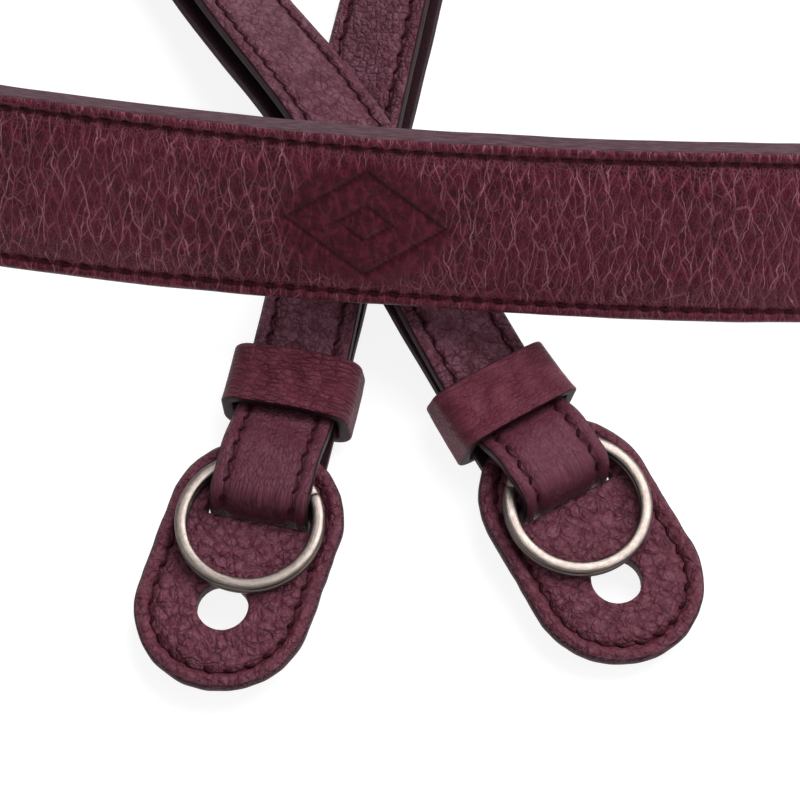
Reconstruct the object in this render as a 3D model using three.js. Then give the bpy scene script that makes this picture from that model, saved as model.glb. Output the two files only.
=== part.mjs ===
// Leather neck strap for a camera, lying folded over itself on a flat surface.
// Millimetres, +Z up, +X to the right of the rings, +Y from the rings towards the band.
//
// A padded neck band runs from left to right. Its right side loops back and ends at the left ring,
// and its left side loops back and ends at the right ring. Each narrow end is one strip folded
// double round a split ring and through the slit of a leather tab, and held by a keeper loop.
//
// Every leather piece is drawn flat, with its length, its width and its thickness, and is then
// laid along a route on the surface. The route gives each place a heading, a lean and a height.

import * as THREE from 'three';

// Lengths along the strap
const WHOLE_LENGTH = 1000;        // from the fold at one ring to the fold at the other
const PAD_LENGTH = 460;           // the band with both of its tapers
const PAD_TAPER = 46;             // from the band's full width down to the narrow strap
const PAD_THINNING = 14;          // last stretch of the taper, skived down to the tongue
const TONGUE_LENGTH = 22;         // end of the band, sewn between the two layers of a strap

// Neck band
const PAD_WIDTH = 22.5;
const PAD_EDGE = 3.5;             // thickness at its painted edge
const PAD_CROWN = 0.7;            // how far the padding stands above the rim
const PAD_RIM = 1.9;              // flat rim outside the row of stitches
const PAD_CHAMFER = 0.5;
const TONGUE_WIDTH = 10.6;
const TONGUE_THICKNESS = 1.2;

// Narrow straps
const STRAP_WIDTH = 12;
const STRAP_LEATHER = 1.6;
const LAYER_GAP = 0.35;           // between the two layers under the keeper
const LAYER_OPENING = 45;         // length over which that gap grows to hold the tongue
const STRAP_BEVEL = 0.35;         // of its outer edges
const FOLD_CORNER = 0.5;          // inner radius of the fold under the tab

// Keeper loops
const KEEPER_LENGTH = 8;
const KEEPER_LEATHER = 1.5;
const KEEPER_EASE = 0.5;          // room beside the strap
const KEEPER_CORNER = 1.0;
const KEEPER_ARCH = 0.4;
const KEEPER_SETTLE = 36;         // length over which the strap comes back to the surface

// Tabs
const TAB_WIDTH = 21.2;
const TAB_LENGTH = 33;
const TAB_LEATHER = 2;
const TAB_HEAD = 10;              // from the slit to the upper end
const TAB_HOLE = 6.2;             // diameter
const TAB_HOLE_FROM_END = 10.4;

// Split rings
const RING_OUTSIDE = 18;          // diameter
const WIRE_WIDTH = 1.5;
const WIRE_HEIGHT = 0.9;
const WIRE_CORNER = 0.34;
const COIL_GAP = 0.1;
const RING_STEP = 50;             // degrees over which the wire steps up to the second coil
const WIRE_END_GAP = 4;           // degrees by which the wire stays short of two turns

const LAY_GAP = 0.3;              // clearance between pieces that lie on each other

// Each side of the loop starts at the middle of the band and ends at its ring.
// heading is the way it sets out, in degrees from +X, and turn is its whole bend, positive to
// the left. The bend lies between two shares of the side's length. keeper_at is the distance
// from the slit to the middle of the keeper. Angles of the tab and the ring are in degrees.
const SIDES = {
  left: {
    heading: -4.9, turn: 261.89, bend_from: 0.0848, bend_to: 0.8331,
    keeper_at: 17.4, tilt: 1, tab_turn: -5, tab_shift: -0.4,
    ring_tilt: 0, ring_shift: [-0.6, -1.9], ring_spin: 40,
  },
  right: {
    heading: 175.1, turn: -233.27, bend_from: 0.2298, bend_to: 0.7132,
    keeper_at: 14.5, tilt: 4, tab_turn: -3, tab_shift: 0.1,
    ring_tilt: 2, ring_shift: [0, -2.6], ring_spin: 140,
  },
};

// Face of the padding: shares of the way from its middle to the stitches, and of its crown.
const PAD_SWELL = [
  { across: 1, height: -0.2 },
  { across: 0.8, height: 0.7 },
  { across: 0.4, height: 1 },
];

// Lean of the strap's width above the surface, in degrees, at shares of a side's length.
const LEANS = {
  left: [
    { share: 0, lean: 56 },
    { share: 0.1, lean: 54 },
    { share: 0.28, lean: 74 },
    { share: 0.46, lean: 84 },
    { share: 0.68, lean: 76 },
    { share: 0.84, lean: 26 },
    { share: 0.93, lean: 13 },
    { share: 0.963, lean: 5.5 },
    { share: 0.982, lean: 3 },
    { share: 1, lean: 3 },
  ],
  right: [
    { share: 0, lean: 56 },
    { share: 0.1, lean: 52 },
    { share: 0.28, lean: 74 },
    { share: 0.46, lean: 84 },
    { share: 0.66, lean: 76 },
    { share: 0.82, lean: 32 },
    { share: 0.9, lean: 20 },
    { share: 0.966, lean: 8.5 },
    { share: 0.982, lean: 4 },
    { share: 1, lean: 4 },
  ],
};

const HALF_LENGTH = WHOLE_LENGTH / 2;
const STRAP_LENGTH = HALF_LENGTH - PAD_LENGTH / 2;
const TONGUE_GAP = TONGUE_THICKNESS + 2 * LAY_GAP;
const RING_HEIGHT = 2 * WIRE_HEIGHT + COIL_GAP;
const RIDE_REACH = 3.4;           // a strap climbs over another within this many of its widths
const PAD_REACH = 7;              // the band comes down again within this many of its widths
const EVEN_BEND = 0.24;           // share of a side's bend that is even from the band's middle on

// Fineness of the curves
const ROUTE_STEPS = 1000;
const PLAN_STEP = 2;              // between the points of a plan line
const SLOPE_STEP = 0.5;           // on each side of a place, to read its slope
const PAD_STEPS = 132;
const STRAP_COARSE_STEPS = 44;    // along each layer, away from the ring
const STRAP_FINE_STEPS = 20;      // along each layer, between the keeper and the ring
const NOSE_STEPS = 8;             // round the front of the fold
const FOLD_CORNER_STEPS = 3;
const KEEPER_STEPS = 3;
const KEEPER_CORNER_STEPS = 3;
const TAB_CURVE_STEPS = 14;
const RING_STEPS = 64;

const radians = THREE.MathUtils.degToRad;
const clamp = THREE.MathUtils.clamp;
const mix = THREE.MathUtils.lerp;
const smooth = THREE.MathUtils.smoothstep;

// A smooth curve through one column of a table, read at a share of the length.
function readTable(rows, column, share) {
  let low = 0;
  while (low < rows.length - 2 && share > rows[low + 1].share) low += 1;
  const rise = (a, b) => rows[b][column] - rows[a][column];
  const slopeBetween = (a, b) => rise(a, b) / (rows[b].share - rows[a].share);
  const slopeAt = (i) => slopeBetween(Math.max(i - 1, 0), Math.min(i + 1, rows.length - 1));
  const span = rows[low + 1].share - rows[low].share;
  const u = clamp((share - rows[low].share) / span, 0, 1);
  const startWeight = (1 + 2 * u) * (1 - u) ** 2;
  const endWeight = u * u * (3 - 2 * u);
  return startWeight * rows[low][column] + endWeight * rows[low + 1][column]
    + u * (1 - u) ** 2 * span * slopeAt(low) - u * u * (1 - u) * span * slopeAt(low + 1);
}

// Route of one side, as points in plan with the heading at each, from the band's middle.
function layRoute(side) {
  const step = HALF_LENGTH / ROUTE_STEPS;
  const bend = (share) => mix(
    smooth(share, side.bend_from, side.bend_to),
    clamp(share / side.bend_to, 0, 1),
    EVEN_BEND,
  );
  const headingAt = (share) => radians(side.heading + side.turn * bend(share));
  const points = [new THREE.Vector2(0, 0)];
  for (let i = 0; i < ROUTE_STEPS; i += 1) {
    const heading = headingAt((i + 0.5) / ROUTE_STEPS);
    const onward = new THREE.Vector2(Math.cos(heading), Math.sin(heading)).multiplyScalar(step);
    points.push(points[i].clone().add(onward));
  }
  return { points, headingAt };
}

function planPoint(route, distance) {
  const place = clamp(distance / HALF_LENGTH, 0, 1) * ROUTE_STEPS;
  const index = Math.min(Math.floor(place), ROUTE_STEPS - 1);
  return route.points[index].clone().lerp(route.points[index + 1], place - index);
}

const routes = { left: layRoute(SIDES.left), right: layRoute(SIDES.right) };

const leanAt = (name, distance) => radians(readTable(LEANS[name], 'lean', distance / HALF_LENGTH));

// Width that lies on the surface: the band's, easing to the strap's along the taper.
function laidWidth(distance) {
  const taper = smooth(distance, PAD_LENGTH / 2 - PAD_TAPER, PAD_LENGTH / 2);
  return mix(PAD_WIDTH, STRAP_WIDTH, taper);
}

// Height of the upper layer's underside above the strap's own underside, at a distance from the
// slit. From the ring it comes down in a curve that just clears the head of the tab.
function upperLayer(name, fromSlit) {
  const opening = smooth(fromSlit, SIDES[name].keeper_at, SIDES[name].keeper_at + LAYER_OPENING);
  const resting = STRAP_LEATHER + mix(LAYER_GAP, TONGUE_GAP, opening);
  const crest = crestHeight(name);
  const overHead = STRAP_LEATHER + TAB_LEATHER + 2 * LAY_GAP;
  const headReach = TAB_HEAD + 2 * LAY_GAP - ringReach(name);
  const headShare = (overHead - STRAP_LEATHER - LAYER_GAP) / (crest - STRAP_LEATHER - LAYER_GAP);
  const descent = headReach / (1 - Math.sqrt(headShare));
  const remaining = 1 - clamp((fromSlit - ringReach(name)) / descent, 0, 1);
  return resting + (crest - resting) * remaining ** 2;
}

// How far up the strap the ring reaches from the slit.
const ringReach = (name) => RING_OUTSIDE / 2 + SIDES[name].ring_shift[1];

// The upper layer passes over the tab and the ring.
function crestHeight(name) {
  const ringRise = RING_OUTSIDE * Math.sin(radians(SIDES[name].ring_tilt));
  return STRAP_LEATHER + TAB_LEATHER + RING_HEIGHT + ringRise + 3 * LAY_GAP;
}

// Height of both layers together, with the upper one's thickness square to its slope.
function stackHeight(name, fromSlit) {
  const rise = upperLayer(name, fromSlit + SLOPE_STEP) - upperLayer(name, fromSlit - SLOPE_STEP);
  const slope = rise / (2 * SLOPE_STEP);
  return upperLayer(name, fromSlit) + STRAP_LEATHER * Math.hypot(1, slope);
}

// Room above and below the strap's square corners inside the keeper's round ones.
const KEEPER_ROOM = KEEPER_CORNER
  - Math.sqrt((KEEPER_CORNER - LAY_GAP) ** 2 - (KEEPER_CORNER - KEEPER_EASE) ** 2);

// The keeper's lower wall lies between the strap and the surface.
function keeperLift(name, distance) {
  const side = SIDES[name];
  const fromKeeper = HALF_LENGTH - distance - side.keeper_at;
  const lean = leanAt(name, HALF_LENGTH - side.keeper_at);
  const wall = (KEEPER_LEATHER + KEEPER_ROOM) * Math.cos(lean)
    + (KEEPER_LEATHER + KEEPER_EASE) * Math.sin(lean);
  if (fromKeeper < 0) return wall + fromKeeper * Math.tan(radians(side.tilt));
  return wall * (1 - smooth(fromKeeper, KEEPER_LENGTH / 2, KEEPER_SETTLE));
}

// Where two plan lines cross, as the distance along each. Lines are lists of points.
function crossing(first, second) {
  for (let i = 0; i < first.length - 1; i += 1) {
    for (let j = 0; j < second.length - 1; j += 1) {
      const a = first[i + 1].clone().sub(first[i]);
      const b = second[j + 1].clone().sub(second[j]);
      const c = second[j].clone().sub(first[i]);
      const det = a.cross(b);
      const u = c.cross(b) / det;
      const v = c.cross(a) / det;
      if (u >= 0 && u < 1 && v >= 0 && v < 1) return [i + u, j + v];
    }
  }
  return null;
}

function planLine(name, from, to) {
  const line = [];
  for (let d = from; d <= to; d += PLAN_STEP) line.push(planPoint(routes[name], d));
  return line;
}

// The right strap climbs over the left one where they cross.
const strapStart = PAD_LENGTH / 2;
const leftLine = planLine('left', strapStart, HALF_LENGTH);
const rightLine = planLine('right', strapStart, HALF_LENGTH);
const strapsCross = crossing(leftLine, rightLine);
const leftCrossAt = strapStart + strapsCross[0] * PLAN_STEP;
const rightCrossAt = strapStart + strapsCross[1] * PLAN_STEP;
const rideHeight = 2 * LAY_GAP + stackHeight('left', HALF_LENGTH - leftCrossAt)
  + STRAP_WIDTH * Math.sin(leanAt('left', leftCrossAt));

// A rounded rise from nothing at the reach to one at the middle.
function swell(distance, reach) {
  return Math.abs(distance) < reach ? Math.cos((Math.PI / 2) * (distance / reach)) ** 2 : 0;
}

function strapLift(name, distance) {
  const fromCrossing = distance - rightCrossAt;
  const ride = name === 'right' ? swell(fromCrossing, RIDE_REACH * STRAP_WIDTH) : 0;
  return mix(keeperLift(name, distance), rideHeight, ride);
}

// The band climbs over the right strap's raised edge where its own lower edge passes over it.
const bandSide = (signed) => (signed < 0 ? 'right' : 'left');
function bandEdgePlan(signed) {
  const name = bandSide(signed);
  const point = planPoint(routes[name], Math.abs(signed));
  const reach = (PAD_WIDTH / 2) * Math.cos(leanAt(name, Math.abs(signed)));
  return point.add(outward(name, Math.abs(signed)).multiplyScalar(reach));
}

// Level direction out of the loop: to the right of the heading on the left ring's side.
function outward(name, distance) {
  const heading = routes[name].headingAt(distance / HALF_LENGTH);
  const hand = name === 'left' ? 1 : -1;
  return new THREE.Vector2(Math.sin(heading) * hand, -Math.cos(heading) * hand);
}

const edgeStart = -PAD_LENGTH / 4;
const bandEdge = [];
for (let d = edgeStart; d <= -edgeStart; d += PLAN_STEP) bandEdge.push(bandEdgePlan(d));
const bandCross = crossing(bandEdge, rightLine);
const bandCrossAt = edgeStart + bandCross[0] * PLAN_STEP;
const underBandAt = strapStart + bandCross[1] * PLAN_STEP;
const bandRide = 2 * LAY_GAP + strapLift('right', underBandAt)
  + stackHeight('right', HALF_LENGTH - underBandAt) * Math.cos(leanAt('right', underBandAt))
  + STRAP_WIDTH * Math.sin(leanAt('right', underBandAt));

function liftAt(name, distance) {
  const signed = name === 'left' ? distance : -distance;
  return strapLift(name, distance) + bandRide * swell(signed - bandCrossAt, PAD_REACH * PAD_WIDTH);
}

// Frame of the route at a distance from the band's middle: the middle of the underside, and the
// directions along the strap, across it to its raised edge, and out of its grain face.
function frameAt(name, distance) {
  const inside = clamp(distance, 0, HALF_LENGTH);
  const lean = leanAt(name, inside);
  const out = outward(name, inside);
  const height = (d) => liftAt(name, d) + (laidWidth(d) / 2) * Math.sin(leanAt(name, d));
  const before = Math.max(inside - SLOPE_STEP, 0);
  const after = Math.min(inside + SLOPE_STEP, HALF_LENGTH);
  const slope = (height(after) - height(before)) / (after - before);
  const heading = routes[name].headingAt(inside / HALF_LENGTH);
  const along = new THREE.Vector3(Math.cos(heading), Math.sin(heading), slope).normalize();
  const inward = out.multiplyScalar(-Math.cos(lean));
  const leaning = new THREE.Vector3(inward.x, inward.y, Math.sin(lean));
  const across = leaning.addScaledVector(along, -leaning.dot(along)).normalize();
  const face = new THREE.Vector3().crossVectors(along, across);
  if (name === 'right') face.negate();
  const plan = planPoint(routes[name], inside);
  const origin = new THREE.Vector3(plan.x, plan.y, height(inside));
  origin.addScaledVector(along, distance - inside);
  return { origin, along, across, face };
}

// Place in the laid strap of a point drawn flat.
function lay(name, distance, across, up) {
  const frame = frameAt(name, distance);
  return frame.origin.addScaledVector(frame.across, across).addScaledVector(frame.face, up);
}

// Moves every corner of a geometry, and turns its faces round where the move mirrors it.
function reshape(geometry, move) {
  const corners = geometry.getAttribute('position');
  for (let i = 0; i < corners.count; i += 1) {
    const moved = move(corners.getX(i), corners.getY(i), corners.getZ(i));
    corners.setXYZ(i, moved.x, moved.y, moved.z);
  }
  if (volumeOf(corners) < 0) {
    for (let i = 0; i < corners.count; i += 3) {
      const second = new THREE.Vector3().fromBufferAttribute(corners, i + 1);
      const third = new THREE.Vector3().fromBufferAttribute(corners, i + 2);
      corners.setXYZ(i + 1, third.x, third.y, third.z);
      corners.setXYZ(i + 2, second.x, second.y, second.z);
    }
  }
  geometry.computeVertexNormals();
  return geometry;
}

function volumeOf(corners) {
  let volume = 0;
  const corner = (i) => new THREE.Vector3().fromBufferAttribute(corners, i);
  for (let i = 0; i < corners.count; i += 3) {
    volume += corner(i).dot(corner(i + 1).cross(corner(i + 2)));
  }
  return volume / 6;
}

function leather(colour, roughness) {
  return new THREE.MeshStandardMaterial({ color: colour, roughness, metalness: 0 });
}

const padLeather = leather(0x4a2230, 0.62);
const strapLeather = leather(0x55303b, 0.66);
const keeperLeather = leather(0x54303a, 0.6);
const tabLeather = leather(0x5a3540, 0.66);
const nickel = new THREE.MeshStandardMaterial({ color: 0xb9aea6, roughness: 0.3, metalness: 1 });

function named(name, geometry, material) {
  const mesh = new THREE.Mesh(geometry, material);
  mesh.name = name;
  return mesh;
}

function shapeOf(points) {
  return new THREE.Shape(points.map(([x, y]) => new THREE.Vector2(x, y)));
}

// Neck band. Its section is drawn at full width, then narrowed and thinned towards each tongue.
function neckPad() {
  const half = PAD_WIDTH / 2;
  const edge = PAD_EDGE / 2;
  const seam = half - PAD_RIM;
  const rightHalf = [
    [half - PAD_CHAMFER, -edge],
    [half, PAD_CHAMFER - edge],
    [half, edge - PAD_CHAMFER],
    [half - PAD_CHAMFER, edge],
    ...PAD_SWELL.map(({ across, height }) => [seam * across, edge + PAD_CROWN * height]),
  ];
  const leftHalf = rightHalf.map(([y, z]) => [-y, z]).reverse();
  const reach = PAD_LENGTH / 2 + TONGUE_LENGTH;
  const bar = new THREE.ExtrudeGeometry(shapeOf([...rightHalf, ...leftHalf]), {
    depth: 2 * reach, steps: PAD_STEPS, bevelEnabled: false,
  });
  const middle = STRAP_LEATHER + TONGUE_GAP / 2;
  return reshape(bar, (across, up, along) => {
    const signed = along - reach;
    const distance = Math.abs(signed);
    const taper = smooth(distance, PAD_LENGTH / 2 - PAD_TAPER, PAD_LENGTH / 2);
    const thinning = smooth(distance, PAD_LENGTH / 2 - PAD_THINNING, PAD_LENGTH / 2);
    const width = mix(PAD_WIDTH, TONGUE_WIDTH, taper) / PAD_WIDTH;
    const crowned = up > edge ? edge + (up - edge) * (1 - thinning) : up;
    const thickness = mix(PAD_EDGE, TONGUE_THICKNESS, thinning) / PAD_EDGE;
    return lay(bandSide(signed), distance, across * width, middle + crowned * thickness);
  });
}

// Side view of a folded strap, from the slit: the inner face of the fold as a list of points.
// It comes down the upper layer, over the ring, down through the slit and back below the tab.
function foldLine(name) {
  const crest = crestHeight(name);
  const tabTop = STRAP_LEATHER + LAY_GAP + TAB_LEATHER;
  const slitFace = STRAP_LEATHER / 2;
  const [shiftAcross, shiftAlong] = SIDES[name].ring_shift;
  const insideRing = RING_OUTSIDE / 2 - WIRE_WIDTH - LAY_GAP;
  const halfChord = STRAP_WIDTH / 2 + Math.abs(shiftAcross);
  const crestEnd = Math.sqrt(insideRing ** 2 - halfChord ** 2) + shiftAlong;
  const noseStart = Math.max(crestEnd, slitFace + WIRE_WIDTH / 2);
  const fineUntil = SIDES[name].keeper_at + 2 * KEEPER_LENGTH;
  const stations = [
    ...evenSteps(STRAP_LENGTH, fineUntil, STRAP_COARSE_STEPS),
    ...evenSteps(fineUntil, ringReach(name), STRAP_FINE_STEPS),
    ringReach(name),
  ];
  const upper = stations.map((s) => [s, upperLayer(name, s)]);
  const nose = evenSteps(0, Math.PI / 2, NOSE_STEPS).map((angle) => [
    noseStart - (noseStart - slitFace) * Math.sin(angle),
    tabTop + (crest - tabTop) * Math.cos(angle),
  ]);
  const cornerAngles = [...evenSteps(0, Math.PI / 2, FOLD_CORNER_STEPS), Math.PI / 2];
  const corner = cornerAngles.map((angle) => [
    slitFace + FOLD_CORNER - FOLD_CORNER * Math.cos(angle),
    STRAP_LEATHER + FOLD_CORNER - FOLD_CORNER * Math.sin(angle),
  ]);
  const lower = [...stations].reverse().map((s) => [s, STRAP_LEATHER]);
  return [...upper, ...nose, [slitFace, tabTop], ...corner, ...lower];
}

// Values from one end towards the other, without the other end itself.
function evenSteps(from, to, count) {
  return Array.from({ length: count }, (_, i) => mix(from, to, i / count));
}

// Point at a height outside a line, square to it at one of its points.
function outsideOf(line, index, height) {
  const [x, y] = line[index];
  const [x0, y0] = line[Math.max(index - 1, 0)];
  const [x1, y1] = line[Math.min(index + 1, line.length - 1)];
  const length = Math.hypot(x1 - x0, y1 - y0);
  return [x + ((y1 - y0) / length) * height, y - ((x1 - x0) / length) * height];
}

// The strip's section is drawn across its width and carried along the fold, one step a point.
function foldedStrap(name) {
  const line = foldLine(name);
  const half = STRAP_WIDTH / 2;
  const bevel = STRAP_BEVEL;
  const section = shapeOf([
    [-half, 0], [half, 0], [half, STRAP_LEATHER - bevel], [half - bevel, STRAP_LEATHER],
    [bevel - half, STRAP_LEATHER], [-half, STRAP_LEATHER - bevel],
  ]);
  const strip = new THREE.ExtrudeGeometry(section, {
    depth: line.length - 1, steps: line.length - 1, bevelEnabled: false,
  });
  return reshape(strip, (across, height, index) => {
    const [fromSlit, up] = outsideOf(line, Math.round(index), height);
    return lay(name, HALF_LENGTH - fromSlit, across, up);
  });
}

// Rounded loop outline with an arched top: half its width, its bottom, its top and its corner.
function loopOutline(half, bottom, top, corner, arch) {
  const outline = new THREE.Path();
  outline.moveTo(-half + corner, bottom);
  outline.lineTo(half - corner, bottom);
  outline.absarc(half - corner, bottom + corner, corner, -Math.PI / 2, 0);
  outline.lineTo(half, top - corner);
  outline.absarc(half - corner, top - corner, corner, 0, Math.PI / 2);
  outline.quadraticCurveTo(0, top + 2 * arch, -half + corner, top);
  outline.absarc(-half + corner, top - corner, corner, Math.PI / 2, Math.PI);
  outline.lineTo(-half, bottom + corner);
  outline.absarc(-half + corner, bottom + corner, corner, Math.PI, 1.5 * Math.PI);
  return outline;
}

function keeper(name) {
  const side = SIDES[name];
  const tallest = stackHeight(name, side.keeper_at - KEEPER_LENGTH / 2);
  const half = STRAP_WIDTH / 2 + KEEPER_EASE;
  const top = tallest + KEEPER_ROOM;
  const bottom = -KEEPER_ROOM;
  const wall = KEEPER_LEATHER;
  const corner = KEEPER_CORNER;
  const outside = loopOutline(half + wall, bottom - wall, top + wall, corner + wall, KEEPER_ARCH);
  const inside = loopOutline(half, bottom, top, corner, KEEPER_ARCH);
  const section = new THREE.Shape(outside.getPoints(KEEPER_CORNER_STEPS));
  section.holes.push(new THREE.Path(inside.getPoints(KEEPER_CORNER_STEPS)));
  const tube = new THREE.ExtrudeGeometry(section, {
    depth: KEEPER_LENGTH, steps: KEEPER_STEPS, bevelEnabled: false,
  });
  return reshape(tube, (across, up, along) => {
    const fromSlit = side.keeper_at + KEEPER_LENGTH / 2 - along;
    const settled = (tallest - stackHeight(name, fromSlit)) * smooth(up, 0, tallest);
    return lay(name, HALF_LENGTH - fromSlit, across, up - settled);
  });
}

// Tab, drawn from above with the slit's middle at the origin and its long end towards -Y.
function tab(name) {
  const side = SIDES[name];
  const round = TAB_WIDTH / 2;
  const upperCentre = TAB_HEAD - round;
  const lowerCentre = TAB_HEAD - TAB_LENGTH + round;
  const outline = new THREE.Shape();
  outline.moveTo(round, lowerCentre);
  outline.lineTo(round, upperCentre);
  outline.absarc(0, upperCentre, round, 0, Math.PI);
  outline.lineTo(-round, lowerCentre);
  outline.absarc(0, lowerCentre, round, Math.PI, 2 * Math.PI);
  const slit = new THREE.Path();
  const halfLong = STRAP_WIDTH / 2 + LAY_GAP;
  const halfHigh = STRAP_LEATHER / 2 + LAY_GAP;
  const corners = [
    new THREE.Vector2(-halfLong, -halfHigh),
    new THREE.Vector2(-halfLong, halfHigh),
    new THREE.Vector2(halfLong, halfHigh),
    new THREE.Vector2(halfLong, -halfHigh),
  ];
  const origin = new THREE.Vector2();
  const back = radians(-side.tab_turn);
  const shift = new THREE.Vector2(-side.tab_shift, 0);
  slit.setFromPoints(corners.map((point) => point.add(shift).rotateAround(origin, back)));
  const hole = new THREE.Path();
  hole.absarc(0, TAB_HEAD - TAB_LENGTH + TAB_HOLE_FROM_END, TAB_HOLE / 2, 0, 2 * Math.PI, true);
  outline.holes.push(slit, hole);
  return new THREE.ExtrudeGeometry(outline, {
    depth: TAB_LEATHER, bevelEnabled: false, curveSegments: TAB_CURVE_STEPS,
  });
}

// Split ring: a straight wire of two turns' length, wound up in a circle with a step between.
function splitRing() {
  const w = WIRE_WIDTH / 2;
  const h = WIRE_HEIGHT / 2;
  const c = WIRE_CORNER;
  const section = shapeOf([
    [c - w, -h], [w - c, -h], [w, c - h], [w, h - c],
    [w - c, h], [c - w, h], [-w, h - c], [-w, c - h],
  ]);
  const fullTurn = 2 * Math.PI;
  const sweep = 2 * fullTurn - radians(WIRE_END_GAP);
  const wire = new THREE.ExtrudeGeometry(section, {
    depth: sweep, steps: RING_STEPS, bevelEnabled: false,
  });
  const middleRadius = RING_OUTSIDE / 2 - w;
  const halfStep = radians(RING_STEP) / 2;
  return reshape(wire, (out, up, angle) => {
    const climb = smooth(angle, sweep / 2 - halfStep, sweep / 2 + halfStep);
    const radius = middleRadius + out;
    const height = h + up + climb * (WIRE_HEIGHT + COIL_GAP);
    return new THREE.Vector3(radius * Math.cos(angle), radius * Math.sin(angle), height);
  });
}

// Tab and ring at the end of a strap, in a frame with Y up the strap and Z out of its face.
function ringEnd(name) {
  const side = SIDES[name];
  const frame = frameAt(name, HALF_LENGTH);
  const upStrap = frame.along.clone().negate();
  const sideways = new THREE.Vector3().crossVectors(upStrap, frame.face);
  const group = new THREE.Group();
  group.position.copy(frame.origin);
  group.quaternion.setFromRotationMatrix(new THREE.Matrix4().makeBasis(sideways, upStrap, frame.face));

  const tabMesh = named(`${name}_tab`, tab(name), tabLeather);
  tabMesh.rotation.z = radians(side.tab_turn);
  tabMesh.position.set(side.tab_shift, 0, STRAP_LEATHER + LAY_GAP);

  const ringMesh = named(`${name}_ring`, splitRing(), nickel);
  const tilt = radians(side.ring_tilt);
  const rise = (RING_OUTSIDE / 2) * Math.sin(tilt);
  ringMesh.rotation.set(tilt, 0, radians(side.ring_spin), 'XYZ');
  ringMesh.position.set(
    side.ring_shift[0],
    side.ring_shift[1],
    STRAP_LEATHER + TAB_LEATHER + 2 * LAY_GAP + rise,
  );
  group.add(tabMesh, ringMesh);
  return group;
}

const strap = new THREE.Group();
strap.add(named('neck_pad', neckPad(), padLeather));
for (const name of ['left', 'right']) {
  strap.add(named(`${name}_strap`, foldedStrap(name), strapLeather));
  strap.add(named(`${name}_keeper`, keeper(name), keeperLeather));
  strap.add(ringEnd(name));
}

// The origin is the middle of the whole lying strap, on the surface.
const box = new THREE.Box3().setFromObject(strap, true);
const centre = box.getCenter(new THREE.Vector3());
strap.position.set(-centre.x, -centre.y, -box.min.z);

export default strap;
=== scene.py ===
import math

import bpy
import numpy as np
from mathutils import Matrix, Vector, noise
from mathutils.geometry import delaunay_2d_cdt


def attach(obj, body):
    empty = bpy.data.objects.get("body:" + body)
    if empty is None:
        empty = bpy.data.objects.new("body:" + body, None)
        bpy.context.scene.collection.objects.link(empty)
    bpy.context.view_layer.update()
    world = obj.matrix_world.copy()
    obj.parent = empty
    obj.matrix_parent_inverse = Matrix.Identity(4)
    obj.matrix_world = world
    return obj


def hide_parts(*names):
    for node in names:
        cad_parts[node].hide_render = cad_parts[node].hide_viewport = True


# Leather camera neck strap, lying folded over itself: padded band, folded narrow straps, keepers,
# tabs and split rings. Sizes are in millimetres until a mesh is made, then in metres.

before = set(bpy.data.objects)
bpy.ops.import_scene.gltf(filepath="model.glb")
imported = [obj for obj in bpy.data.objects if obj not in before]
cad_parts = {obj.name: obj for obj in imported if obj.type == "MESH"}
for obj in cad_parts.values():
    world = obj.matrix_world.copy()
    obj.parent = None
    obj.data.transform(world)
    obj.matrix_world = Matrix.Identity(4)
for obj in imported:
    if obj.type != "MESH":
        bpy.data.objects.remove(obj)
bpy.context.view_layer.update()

MM = 0.001
LAID_AT = np.array((8.84445, -43.31810, -0.03306))   # from the band's middle to the frame's origin

# Sizes that the solids are built from
WHOLE_LENGTH = 1000.0
PAD_LENGTH = 460.0
PAD_TAPER = 46.0
PAD_THINNING = 14.0
TONGUE_LENGTH = 22.0
PAD_WIDTH = 22.5
PAD_EDGE = 3.5
PAD_CROWN = 0.7
TONGUE_WIDTH = 10.6
TONGUE_THICKNESS = 1.2
STRAP_WIDTH = 12.0
STRAP_LEATHER = 1.6
LAYER_GAP = 0.35
LAYER_OPENING = 45.0
FOLD_CORNER = 0.5
KEEPER_LENGTH = 8.0
KEEPER_LEATHER = 1.5
KEEPER_EASE = 0.5
KEEPER_CORNER = 1.0
KEEPER_ARCH = 0.4
KEEPER_SETTLE = 36.0
TAB_WIDTH = 21.2
TAB_LENGTH = 33.0
TAB_LEATHER = 2.0
TAB_HEAD = 10.0
TAB_HOLE = 6.2
TAB_HOLE_FROM_END = 10.4
RING_OUTSIDE = 18.0
WIRE_WIDTH = 1.5
WIRE_HEIGHT = 0.9
COIL_GAP = 0.1
RING_STEP = 50.0
WIRE_END_GAP = 4.0
LAY_GAP = 0.3
RIDE_REACH = 3.4
PAD_REACH = 7.0
EVEN_BEND = 0.24

SIDES = {
    "left": dict(heading=-4.9, turn=261.89, bend_from=0.0848, bend_to=0.8331,
                 keeper_at=17.4, tilt=1, tab_turn=-5, tab_shift=-0.4,
                 ring_tilt=0, ring_shift=(-0.6, -1.9), ring_spin=40),
    "right": dict(heading=175.1, turn=-233.27, bend_from=0.2298, bend_to=0.7132,
                  keeper_at=14.5, tilt=4, tab_turn=-3, tab_shift=0.1,
                  ring_tilt=2, ring_shift=(0, -2.6), ring_spin=140),
}

# Lean of the strap's width above the surface, in degrees, at shares of a side's length
LEANS = {
    "left": ((0, 56), (0.1, 54), (0.28, 74), (0.46, 84), (0.68, 76), (0.84, 26), (0.93, 13),
             (0.963, 5.5), (0.982, 3), (1, 3)),
    "right": ((0, 56), (0.1, 52), (0.28, 74), (0.46, 84), (0.66, 76), (0.82, 32), (0.9, 20),
              (0.966, 8.5), (0.982, 4), (1, 4)),
}

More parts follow.
